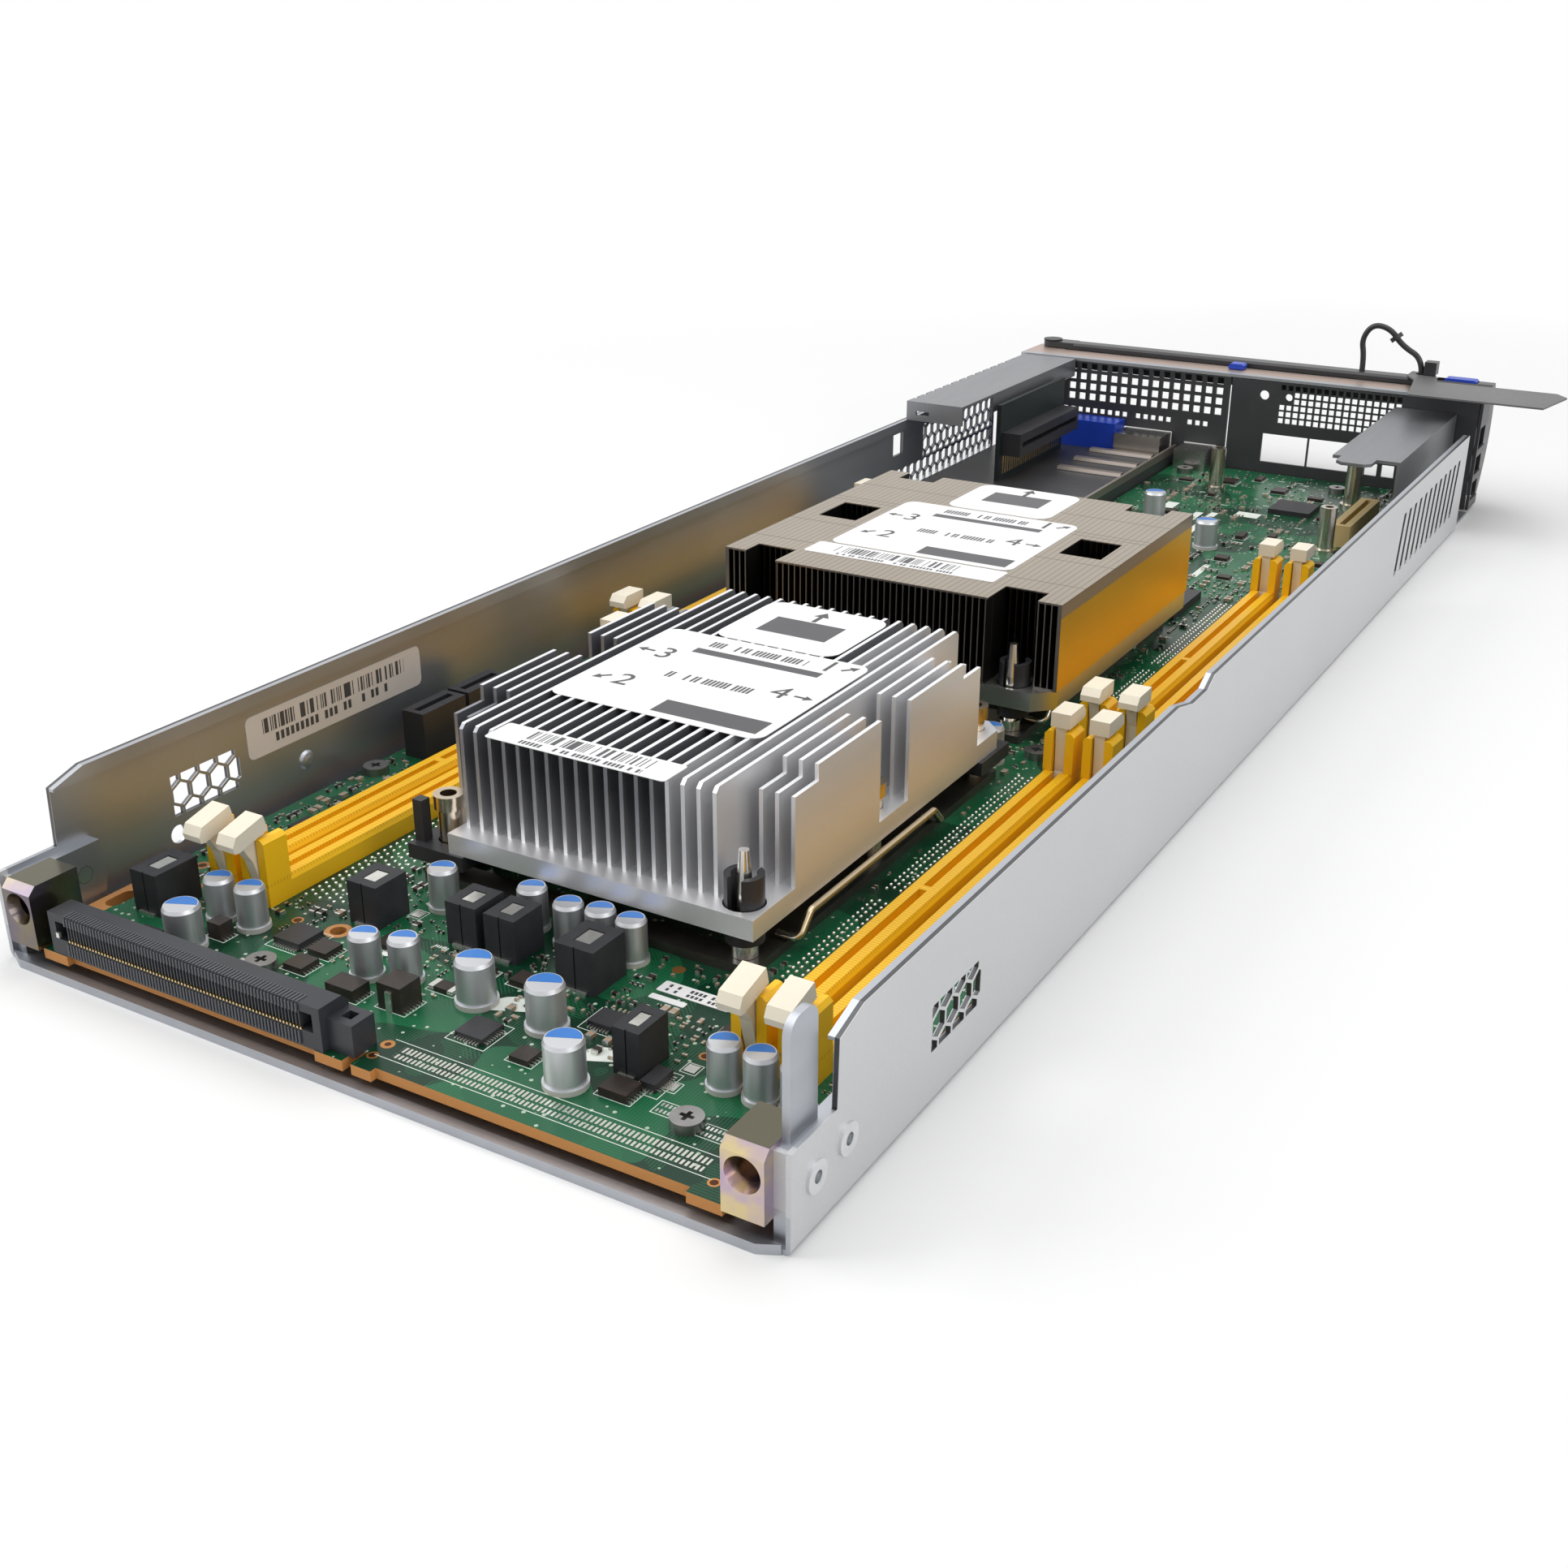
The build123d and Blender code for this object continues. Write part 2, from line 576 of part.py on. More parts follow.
def tray():
    """One folded sheet: floor, two hemmed walls, a turned-up docking lip and bosses for the board."""
    section = outline(
        (-HALF_WIDTH, 0), (HALF_WIDTH, 0), (HALF_WIDTH, WALL_TOP), (WALL_INNER - HEM_THICK, WALL_TOP),
        (WALL_INNER - HEM_THICK, WALL_TOP - HEM_DEPTH), (WALL_INNER, WALL_TOP - HEM_DEPTH),
        (WALL_INNER, SHEET), (-WALL_INNER, SHEET), (-WALL_INNER, WALL_TOP - HEM_DEPTH),
        (-WALL_INNER + HEM_THICK, WALL_TOP - HEM_DEPTH), (-WALL_INNER + HEM_THICK, WALL_TOP),
        (-HALF_WIDTH, WALL_TOP),
    )
    low_corners = section.vertices().filter_by(lambda v: v.Y < 0.1)
    section = fillet(low_corners, BEND_RADIUS)
    body = cross_plate(section, -1.0, WALL_LENGTH)
    body += block(-WALL_INNER, WALL_INNER, WALL_LENGTH, TRAY_LENGTH, 0, SHEET)
    nose = outline(
        (-2, NOSE_HEIGHT), (NOSE_LENGTH, NOSE_HEIGHT), (NOSE_LENGTH + 0.5, SHOULDER_HEIGHT),
        (NOSE_LENGTH + SHOULDER_LENGTH, WALL_TOP), (NOSE_LENGTH + SHOULDER_LENGTH, WALL_TOP + 2),
        (-2, WALL_TOP + 2),
    )
    body -= side_plate(nose, -BIG, BIG)
    lip_half = HALF_WIDTH - BEND_RADIUS
    lip = outline(
        (-lip_half, -1.0), (-lip_half, -LIP_DEPTH + LIP_CHAMFER * 0.5), (-lip_half + LIP_CHAMFER, -LIP_DEPTH),
        (lip_half - LIP_CHAMFER, -LIP_DEPTH), (lip_half, -LIP_DEPTH + LIP_CHAMFER * 0.5), (lip_half, -1.0),
    )
    body += flat_plate(lip, 0, LIP_HEIGHT)
    dip = outline(
        (WALL_DIP_START, WALL_TOP + 1), (WALL_DIP_START, WALL_TOP),
        (WALL_DIP_START + WALL_DIP_LENGTH * 0.4, WALL_TOP - WALL_DIP_DEPTH),
        (WALL_DIP_START + WALL_DIP_LENGTH * 0.8, WALL_TOP - WALL_DIP_DEPTH),
        (WALL_DIP_START + WALL_DIP_LENGTH, WALL_TOP), (WALL_DIP_START + WALL_DIP_LENGTH, WALL_TOP + 1),
    )
    body -= side_plate(dip, 0, HALF_WIDTH + 1)
    left_holes = honeycomb(LEFT_VENT_START, LEFT_VENT_START + NEAR_VENT_LENGTH,
                           LEFT_VENT_BOTTOM, LEFT_VENT_BOTTOM + NEAR_VENT_HEIGHT)
    left_holes += honeycomb(FAR_VENT_START, FAR_VENT_END, FAR_VENT_BOTTOM, FAR_VENT_MIDDLE)
    left_holes += honeycomb(FAR_VENT_END - FAR_VENT_SHORT, FAR_VENT_END, FAR_VENT_MIDDLE + HEX_WEB, FAR_VENT_TOP)
    left_holes.append(Pos(PEEP_HOLE_Y, PEEP_HOLE_Z) * Circle(PEEP_HOLE_RADIUS))
    left_holes.append(window(FAR_VENT_START, FAR_VENT_START + SIDE_WINDOW_LENGTH,
                             SIDE_WINDOW_BOTTOM, SIDE_WINDOW_BOTTOM + SIDE_WINDOW_HEIGHT))
    right_holes = honeycomb(RIGHT_VENT_START, RIGHT_VENT_START + NEAR_VENT_LENGTH,
                            RIGHT_VENT_BOTTOM, RIGHT_VENT_BOTTOM + NEAR_VENT_HEIGHT)
    louvre_pitch = (LOUVRE_END - LOUVRE_START - LOUVRE_WIDTH) / (LOUVRE_COUNT - 1)
    for index in range(LOUVRE_COUNT):
        y = LOUVRE_START + index * louvre_pitch
        right_holes.append(outline(
            (y, LOUVRE_BOTTOM), (y + LOUVRE_WIDTH, LOUVRE_BOTTOM),
            (y + LOUVRE_WIDTH + LOUVRE_LEAN, LOUVRE_TOP), (y + LOUVRE_LEAN, LOUVRE_TOP),
        ))
    body -= [side_plate(hole, -HALF_WIDTH - SHEET, -WALL_INNER + SHEET) for hole in left_holes]
    body -= [side_plate(hole, WALL_INNER - SHEET, HALF_WIDTH + SHEET) for hole in right_holes]
    for x, y in BOARD_SCREWS:
        body += post(x, y, SHEET, BOARD_BOTTOM, BOSS_RADIUS)
        body -= post(x, y, SHEET / 2, BOARD_BOTTOM + SHEET, SCREW_SHANK_RADIUS + RUNNING_GAP)
    for y, z in RIVET_SPOTS:
        body -= cross_pin(WALL_INNER - SHEET, HALF_WIDTH + SHEET, y, z, RIVET_SHANK_RADIUS + RUNNING_GAP)
        body -= cross_pin(-HALF_WIDTH - SHEET, SHEET - WALL_INNER, y, z, RIVET_SHANK_RADIUS + RUNNING_GAP)
    return [body]


def guide_block(side):
    """A plated steel block with a countersunk hole that finds the chassis guide pin."""
    body = block(BLOCK_INNER_X, BLOCK_OUTER_X, BLOCK_START, BLOCK_END, BLOCK_BOTTOM, BLOCK_TOP)
    top_front = body.edges().filter_by(Axis.X).sort_by(lambda e: e.center().Y - e.center().Z)[0]
    body = chamfer(top_front, BLOCK_CHAMFER)
    hole_x = (BLOCK_INNER_X + BLOCK_OUTER_X) / 2
    bore = Rot(90, 0, 0) * Cylinder(GUIDE_HOLE_RADIUS, GUIDE_HOLE_DEPTH)
    body -= Pos(hole_x, BLOCK_START + GUIDE_HOLE_DEPTH / 2, GUIDE_HOLE_Z) * bore
    mouth = Rot(90, 0, 0) * Cone(GUIDE_HOLE_RADIUS, GUIDE_MOUTH_RADIUS, GUIDE_MOUTH_DEPTH)
    body -= Pos(hole_x, BLOCK_START + GUIDE_MOUTH_DEPTH / 2, GUIDE_HOLE_Z) * mouth
    y, z = RIVET_SPOTS[0]
    body -= cross_pin(BLOCK_OUTER_X - RIVET_DEPTH, WALL_INNER, y, z, RIVET_SHANK_RADIUS + RUNNING_GAP)
    return [body if side > 0 else mirror(body, Plane.YZ)]


def block_brackets():
    """Packing plates between the blocks and the walls; the right one rises into a guide finger."""
    solids = []
    for side in (-1, 1):
        body = block(BLOCK_OUTER_X, WALL_INNER, 0, BRACKET_END, SHEET, BRACKET_TOP)
        if side > 0:
            finger = window(FINGER_START, FINGER_END, BRACKET_TOP - FINGER_THICK, FINGER_TOP)
            finger = fillet(finger.vertices().group_by(Axis.Y)[-1], FINGER_ROUND)
            body += side_plate(finger, BLOCK_OUTER_X, BLOCK_OUTER_X + FINGER_THICK)
        for y, z in RIVET_SPOTS:
            body -= cross_pin(BLOCK_OUTER_X - SHEET, HALF_WIDTH, y, z, RIVET_SHANK_RADIUS + RUNNING_GAP)
        solids.append(body if side > 0 else mirror(body, Plane.YZ))
    return solids


def rivets():
    """Hollow rivets that hold the blocks and their packing plates to the walls."""
    solids = []
    for side in (-1, 1):
        for index, (y, z) in enumerate(RIVET_SPOTS):
            inner = BLOCK_OUTER_X - RIVET_DEPTH + SEAT_GAP if index == 0 else BLOCK_OUTER_X
            head_x = HALF_WIDTH + RIVET_HEAD
            body = cross_pin(inner, HALF_WIDTH, y, z, RIVET_SHANK_RADIUS)
            body += cross_pin(HALF_WIDTH, head_x, y, z, RIVET_RADIUS)
            body -= cross_pin(head_x - RIVET_BORE_DEPTH, head_x + RIVET_HEAD, y, z, RIVET_BORE)
            solids.append(body if side > 0 else mirror(body, Plane.YZ))
    return solids


def main_board():
    """The printed circuit board, cut away round the guide blocks and the riser corner."""
    corner_x = BLOCK_INNER_X - SEAT_GAP
    corner_y = BLOCK_END + SEAT_GAP
    tab_y = BOARD_START - BOARD_TAB_REACH
    notch_y = tab_y + BOARD_NOTCH_DEPTH
    notch_end = BOARD_NOTCH_X + BOARD_NOTCH_WIDTH
    face = outline(
        (-corner_x, tab_y), (LEFT_TAB_END, tab_y), (LEFT_TAB_END, BOARD_START), (RIGHT_TAB_START, BOARD_START),
        (RIGHT_TAB_START, tab_y), (BOARD_NOTCH_X, tab_y), (BOARD_NOTCH_X, notch_y), (notch_end, notch_y),
        (notch_end, tab_y), (RIGHT_TAB_END, tab_y), (RIGHT_TAB_END, BOARD_START), (-LEFT_TAB_END, BOARD_START),
        (-LEFT_TAB_END, tab_y), (corner_x, tab_y), (corner_x, corner_y), (BOARD_HALF_WIDTH, corner_y),
        (BOARD_HALF_WIDTH, BOARD_END), (RISER_CUT_X, BOARD_END), (RISER_CUT_X, RISER_CUT_Y),
        (-BOARD_HALF_WIDTH, RISER_CUT_Y), (-BOARD_HALF_WIDTH, corner_y), (-corner_x, corner_y),
    )
    face -= [Pos(x, y) * Circle(SCREW_HOLE_RADIUS) for x, y in BOARD_SCREWS]
    slot_x = SLOT_HOLE_INSET - BOARD_HALF_WIDTH
    face -= Pos(slot_x, SLOT_HOLE_Y) * Rot(0, 0, 90) * SlotOverall(SLOT_HOLE_LENGTH, 2 * SLOT_HOLE_RADIUS)
    face -= Pos(ROUND_HOLE_X, ROUND_HOLE_Y) * Circle(ROUND_HOLE_RADIUS)
    return [flat_plate(face, BOARD_BOTTOM, BOARD_TOP)]


def board_screws():
    """Pan-head screws that hold the board to the tray's bosses."""
    recess = SCREW_HEAD_RADIUS * 0.45
    solids = []
    for x, y in BOARD_SCREWS:
        body = post(x, y, SHEET, BOARD_TOP, SCREW_SHANK_RADIUS)
        body += post(x, y, BOARD_TOP, BOARD_TOP + SCREW_HEAD_HEIGHT, SCREW_HEAD_RADIUS)
        cross = Box(2 * recess, 0.8, 2) + Box(0.8, 2 * recess, 2)
        body -= Pos(x, y, BOARD_TOP + SCREW_HEAD_HEIGHT) * cross
        solids.append(body)
    return solids


def docking_connector():
    """The right-angle connector that mates with the chassis midplane, with a cheek at each end and an ear."""
    top = BOARD_TOP + DOCK_HEIGHT
    back = DOCK_FRONT + DOCK_DEPTH
    slot_top = top - DOCK_LIP
    whole = outline(
        (DOCK_FRONT, BOARD_TOP), (back, BOARD_TOP), (back, top - DOCK_BEVEL), (back - DOCK_BEVEL, top),
        (DOCK_FRONT, top),
    )
    mouth = window(DOCK_FRONT - SHEET, DOCK_FRONT + DOCK_SLOT_DEPTH, slot_top - DOCK_SLOT_HEIGHT, slot_top)
    body = side_plate(whole, DOCK_START_X - DOCK_CHEEK, DOCK_END_X + DOCK_CHEEK)
    body -= side_plate(mouth, DOCK_START_X, DOCK_END_X)
    ear_start = DOCK_END_X + DOCK_CHEEK
    ear_end = DOCK_END_X + DOCK_EAR_LENGTH
    ear_top = BOARD_TOP + DOCK_EAR_HEIGHT
    pocket_end = ear_end - (DOCK_EAR_LENGTH - DOCK_CHEEK - DOCK_POCKET) / 2
    pocket_back = back - DOCK_EAR_SETBACK
    body += block(ear_start, ear_end, DOCK_FRONT + DOCK_EAR_SETBACK, back, BOARD_TOP, ear_top)
    body -= block(pocket_end - DOCK_POCKET, pocket_end, pocket_back - DOCK_POCKET, pocket_back,
                  ear_top - DOCK_POCKET_DEPTH, ear_top + SHEET)
    return [body]


def ring(width, length, bar, z0, z1, x, y):
    """A flat rectangular frame."""
    face = Rectangle(width, length) - Rectangle(width - 2 * bar, length - 2 * bar)
    return Pos(x, y, 0) * flat_plate(face, z0, z1)


def sink_centres():
    """The middle of each processor, near one first."""
    return [(NEAR_SINK_X, NEAR_SINK_Y), (FAR_SINK_X, FAR_SINK_Y)]


def processor_sockets():
    """The two contact-field sockets, soldered to the board."""
    width = CPU_WIDTH + 2 * SOCKET_MARGIN
    length = CPU_LENGTH + 2 * SOCKET_MARGIN
    solids = []
    for x, y in sink_centres():
        body = block(x - width / 2, x + width / 2, y - length / 2, y + length / 2,
                     BOARD_TOP, BOARD_TOP + SOCKET_HEIGHT)
        body += ring(width, length, SOCKET_MARGIN - SEAT_GAP, BOARD_TOP + SOCKET_HEIGHT,
                     BOARD_TOP + SOCKET_HEIGHT + CPU_THICK * 0.6, x, y)
        solids.append(body)
    return solids


def processors():
    """The two processor packages: a substrate and the metal lid that meets the heatsink."""
    seat = BOARD_TOP + SOCKET_HEIGHT
    solids = []
    for x, y in sink_centres():
        body = block(x - CPU_WIDTH / 2, x + CPU_WIDTH / 2, y - CPU_LENGTH / 2, y + CPU_LENGTH / 2,
                     seat, seat + CPU_THICK)
        body += block(x - CPU_LID_WIDTH / 2, x + CPU_LID_WIDTH / 2, y - CPU_LID_LENGTH / 2,
                      y + CPU_LID_LENGTH / 2, seat + CPU_THICK, HEATSINK_UNDERSIDE)
        solids.append(body)
    return solids


def sinks():
    """Each heatsink's centre, base size, fastener reach and the shift of its pin holes, near one first."""
    near = (NEAR_SINK_X, NEAR_SINK_Y, NEAR_SINK_WIDTH, NEAR_SINK_LENGTH, NEAR_FASTENER_Y, NEAR_PIN_HOLE_SHIFT)
    far = (FAR_SINK_X, FAR_SINK_Y, FAR_SINK_WIDTH, FAR_BASE_LENGTH, FAR_FASTENER_Y, FAR_PIN_HOLE_SHIFT)
    return [near, far]


def pin_spots(sink):
    """Where the frame's two guide pins stand: near right and far left."""
    x, y, _, _, reach, _ = sink
    return [(x + FASTENER_X, y - reach), (x - FASTENER_X, y + reach)]


def nut_spots(sink):
    """Where the heatsink's nuts stand: near left, far right and half way along each side."""
    x, y, _, _, reach, _ = sink
    return [(x - FASTENER_X, y - reach), (x + FASTENER_X, y + reach), (x - FASTENER_X, y), (x + FASTENER_X, y)]


def pin_holes(sink):
    """The centres of the round openings about the pins, a little nearer the middle where the base is short."""
    x, y, _, _, reach, shift = sink
    return [(x + FASTENER_X, y - reach + shift), (x - FASTENER_X, y + reach - shift)]


def between(first, second):
    """Two numbers in rising order."""
    return min(first, second), max(first, second)


def retention_frame(sink):
    """The stamped frame round a socket, with studs for the nuts, tapered pins and the socket's load wire."""
    x, y, _, _, reach, _ = sink
    top = BOARD_TOP + FRAME_THICK
    edge_x = x + FASTENER_X + FRAME_EDGE
    body = ring(2 * (FASTENER_X + FRAME_EDGE), 2 * (reach + FRAME_EDGE), FRAME_BAR, BOARD_TOP, top, x, y)
    for px, py in nut_spots(sink) + pin_spots(sink):
        body += block(px - PAD_HALF, px + PAD_HALF, py - PAD_HALF, py + PAD_HALF, BOARD_TOP, top)
    for px, py in nut_spots(sink):
        body += post(px, py, top, HEATSINK_UNDERSIDE + FRAME_THICK, STUD_RADIUS)
    for px, py in pin_spots(sink):
        body += post(px, py, top, top + PIN_FOOT_HEIGHT, PIN_FOOT_RADIUS)
        body += post(px, py, top, PIN_TOP - PIN_TAPER, PIN_RADIUS)
        body += Pos(px, py, PIN_TOP - PIN_TAPER / 2) * Cone(PIN_RADIUS, PIN_TIP_RADIUS, PIN_TAPER)
    wire_z = top + WIRE_RADIUS + RUNNING_GAP
    wire_x = edge_x + WIRE_OUT
    near = y - WIRE_SPAN * 2 / 3
    far = near + WIRE_SPAN
    route = [
        (edge_x - WIRE_OUT, near, wire_z), (wire_x, near, wire_z), (wire_x, near + WIRE_HEIGHT, wire_z + WIRE_HEIGHT),
        (wire_x, far - WIRE_HEIGHT, wire_z + WIRE_HEIGHT), (wire_x, far, wire_z), (edge_x - WIRE_OUT, far, wire_z),
    ]
    path = FilletPolyline(*route, radius=WIRE_RADIUS * 2)
    wire = sweep(Plane(origin=route[0], z_dir=(1, 0, 0)) * Circle(WIRE_RADIUS), path=path)
    return [body, wire]


def carrier_clip(sink):
    """The moulded clip that holds a processor to its heatsink: a frame with prongs about the guide pins."""
    x, y, width, _, reach, _ = sink
    low = BOARD_TOP + SOCKET_HEIGHT + CPU_THICK + SEAT_GAP
    top = HEATSINK_UNDERSIDE
    half_x = CLIP_WIDTH / 2
    half_y = reach - CLIP_INSET
    body = ring(CLIP_WIDTH, 2 * half_y, CLIP_BAR, low, top, x, y)
    for px, py in nut_spots(sink)[:2]:
        side = 1 if px > x else -1
        end = 1 if py > y else -1
        x0, x1 = between(x + side * (half_x - CLIP_BAR), px + side * CLIP_PLATE)
        y0, y1 = between(y + end * (half_y - CLIP_BAR), py + end * CLIP_PLATE)
        body += block(x0, x1, y0, y1, low, top)
        body -= post(px, py, low - SHEET, top + SHEET, NUT_SLEEVE_RADIUS + SEAT_GAP)
    radius = PIN_HOLE_RADIUS - SEAT_GAP
    rise = top + CLIP_RISE
    for (hx, hy), (px, py) in zip(pin_holes(sink), pin_spots(sink)):
        side = 1 if px > x else -1
        end = 1 if py > y else -1
        x0, x1 = between(x + side * (half_x - CLIP_BAR), hx)
        y0, y1 = between(y + end * (half_y - CLIP_BAR), hy)
        body += block(x0, x1, y0, y1, low, top)
        body += post(hx, hy, low, rise, radius)
        body -= post(hx, hy, low - SHEET, rise + SHEET, radius - CLIP_WALL)
        body -= post(px, py, low - SHEET, rise + SHEET, PIN_RADIUS + SEAT_GAP)
        body -= block(hx - CLIP_MOUTH / 2, hx + CLIP_MOUTH / 2, hy - radius - 1, hy + radius + 1, top, rise + 1)
    if sink[1] == NEAR_SINK_Y:
        px, py = nut_spots(sink)[0]
        post_x = px - NUT_RADIUS - SEAT_GAP
        post_y = py - NUT_RADIUS
        body += block(post_x - CLIP_POST_WIDTH, post_x, post_y - CLIP_POST_WIDTH / 2, post_y + CLIP_POST_WIDTH / 2,
                      top, top + CLIP_POST_HEIGHT)
    return [body]


def captive_nuts():
    """Spring nuts held in the heatsinks: a sleeve over the stud and a driven head."""
    foot = BOARD_TOP + FRAME_THICK
    shoulder = NUT_TOP - NUT_HEAD_HEIGHT
    profile = outline(
        (STUD_RADIUS + RUNNING_GAP, foot), (NUT_SLEEVE_RADIUS, foot), (NUT_SLEEVE_RADIUS, shoulder),
        (NUT_RADIUS, shoulder), (NUT_RADIUS, NUT_TOP), (STUD_RADIUS + RUNNING_GAP, NUT_TOP),
    )
    nut = revolve(Plane.XZ * profile, Axis.Z)
    return [Pos(px, py, 0) * nut for sink in sinks() for px, py in nut_spots(sink)]


def sink_base(sink, thick):
    """A heatsink's base plate, pierced round the pins, bored for the nuts and with cut corners."""
    x, y, width, length, _, _ = sink
    z0 = HEATSINK_UNDERSIDE
    z1 = z0 + thick
    plan = Pos(x, y) * Rectangle(width, length)
    if sink[1] == NEAR_SINK_Y:
        far_right = plan.vertices().sort_by(lambda v: v.X + v.Y)[-1]
        plan = chamfer(far_right, NEAR_BASE_CORNER)
        plan -= Pos(x - width / 2, y - length / 2) * Rectangle(2 * NEAR_NOTCH_WIDTH, 2 * NEAR_NOTCH_LENGTH)
    else:
        plan = chamfer(plan.vertices(), FAR_BASE_CORNER)
    plan -= [Pos(hx, hy) * Circle(PIN_HOLE_RADIUS) for hx, hy in pin_holes(sink)]
    plan -= [Pos(px, py) * Circle(NUT_SLEEVE_RADIUS + RUNNING_GAP) for px, py in nut_spots(sink)]
    return flat_plate(plan, z0, z1)


def near_heatsink():
    """An extruded comb of fins; the outer ones are milled short round the fasteners."""
    base_top = HEATSINK_UNDERSIDE + NEAR_SINK_BASE
    body = sink_base(sinks()[0], NEAR_SINK_BASE)
    first = NEAR_SINK_X - NEAR_FIN_PITCH * (NEAR_FIN_COUNT - 1) / 2
    half = NEAR_FIN_LENGTH / 2
    outer = NEAR_OUTER_FIN_LENGTH / 2
    waist = NEAR_WAIST / 2
    y = NEAR_SINK_Y
    inner_profile = outline(
        (y - half, base_top), (y + half, base_top), (y + half, NEAR_SINK_TOP - 1),
        (y + half - 1, NEAR_SINK_TOP), (y - half + 1, NEAR_SINK_TOP), (y - half, NEAR_SINK_TOP - 1),
    )
    outer_profiles = []
    for sign in (-1, 1):
        outer_profiles.append(outline(
            (y + sign * waist, base_top), (y + sign * outer, base_top),
            (y + sign * outer, NEAR_SINK_TOP - NEAR_SHOULDER_DROP),
            (y + sign * (outer - NEAR_SHOULDER_LENGTH), NEAR_SINK_TOP - NEAR_SHOULDER_DROP),
            (y + sign * (outer - NEAR_SHOULDER_LENGTH), NEAR_SINK_TOP),
            (y + sign * waist, NEAR_SINK_TOP),
        ))
    for index in range(NEAR_FIN_COUNT):
        x = first + index * NEAR_FIN_PITCH
        is_outer = index < NEAR_OUTER_COUNT or index >= NEAR_FIN_COUNT - NEAR_OUTER_COUNT
        for profile in (outer_profiles if is_outer else [inner_profile]):
            body += side_plate(profile, x - NEAR_FIN_THICK / 2, x + NEAR_FIN_THICK / 2)
    return [body]


def far_sink_outline():
    """The fin pack seen from above: a tongue at each end and pockets beside it for the fasteners."""
    x = FAR_SINK_X
    y = FAR_SINK_Y
    half = FAR_SINK_WIDTH / 2
    long = FAR_SINK_LENGTH / 2
    tongue = FAR_TONGUE_WIDTH / 2
    pocket = tongue + FAR_POCKET_WIDTH
    near = y - long
    far = y + long
    return outline(
        (x - half, near), (x - pocket, near), (x - pocket, near + FAR_POCKET_DEPTH),
        (x - tongue, near + FAR_POCKET_DEPTH), (x - tongue, near - FAR_TONGUE_REACH),
        (x + tongue, near - FAR_TONGUE_REACH), (x + tongue, near + FAR_POCKET_DEPTH),
        (x + pocket, near + FAR_POCKET_DEPTH), (x + pocket, near), (x + half, near),
        (x + half, far), (x + pocket, far), (x + pocket, far - FAR_POCKET_DEPTH),
        (x + tongue, far - FAR_POCKET_DEPTH), (x + tongue, far),
        (x - tongue, far), (x - tongue, far - FAR_POCKET_DEPTH),
        (x - pocket, far - FAR_POCKET_DEPTH), (x - pocket, far), (x - half, far),
    )


def far_heatsink_fins():
    """Folded fins: a comb under a skin made of their bent-over tops, with two windows over the nuts."""
    low = HEATSINK_UNDERSIDE + FAR_SINK_BASE
    top = FAR_SINK_TOP
    plan = far_sink_outline()
    count = int(FAR_SINK_WIDTH / FAR_FIN_PITCH)
    first = FAR_SINK_X - FAR_FIN_PITCH * count / 2
    windows = [Pos(FAR_SINK_X + side * FASTENER_X, FAR_SINK_Y)
               * Rectangle(FAR_WINDOW_WIDTH, FAR_WINDOW_LENGTH) for side in (-1, 1)]
    plan_cut = plan - windows
    gaps = []
    for index in range(count):
        x0 = first + index * FAR_FIN_PITCH + FAR_FIN_THICK / 2
        x1 = x0 + FAR_FIN_PITCH - FAR_FIN_THICK
        gaps.append(block(x0, x1, FAR_SINK_Y - FAR_SINK_LENGTH, FAR_SINK_Y + FAR_SINK_LENGTH,
                          low + FAR_FOLD_THICK, top - FAR_FOLD_THICK))
    body = flat_plate(plan_cut, low, top) - gaps
    return [body]


def far_heatsink_base():
    """The plated base under the folded fins."""
    return [sink_base(sinks()[1], FAR_SINK_BASE)]


def memory_socket(x, near):
    """One memory socket: a grooved rail with a key bridge between two forked towers."""
    far = near + BANK_LENGTH
    half = SLOT_WIDTH / 2
    groove = RAIL_GROOVE / 2
    floor = BOARD_TOP + GROOVE_FLOOR
    rail = outline(
        (-half, BOARD_TOP), (half, BOARD_TOP), (half, RAIL_TOP - 2 * RAIL_BEVEL), (half - RAIL_BEVEL, RAIL_TOP),
        (groove, RAIL_TOP), (groove, floor), (-groove, floor), (-groove, RAIL_TOP),
        (RAIL_BEVEL - half, RAIL_TOP), (-half, RAIL_TOP - 2 * RAIL_BEVEL),
    )
    body = cross_plate(rail, near, far)
    body += block(-half + RAIL_BEVEL, half - RAIL_BEVEL, near + KEY_OFFSET, near + KEY_OFFSET + KEY_BRIDGE,
                  BOARD_TOP, RAIL_TOP)
    slot = LATCH_BLADE / 2 + SEAT_GAP
    fork_floor = BOARD_TOP + TOWER_WEB
    tower = outline(
        (-half, BOARD_TOP), (half, BOARD_TOP), (half, TOWER_TOP - TOWER_CHAMFER),
        (half - TOWER_CHAMFER, TOWER_TOP), (slot, TOWER_TOP), (slot, fork_floor), (-slot, fork_floor),
        (-slot, TOWER_TOP), (-half + TOWER_CHAMFER, TOWER_TOP), (-half, TOWER_TOP - TOWER_CHAMFER),
    )
    for start in (near - TOWER_DEPTH, far):
        fork = cross_plate(tower, start, start + TOWER_DEPTH)
        hole = Rot(0, 90, 0) * Cylinder(LATCH_TRUNNION_RADIUS + RUNNING_GAP, 2 * trunnion_reach())
        body += fork - Pos(0, start + TOWER_DEPTH / 2, LATCH_PIVOT_Z) * hole
    return Pos(x, 0, 0) * body


def trunnion_reach():
    """How far a latch's trunnion reaches into each post of its tower."""
    return LATCH_BLADE / 2 + SEAT_GAP + LATCH_TRUNNION_REACH


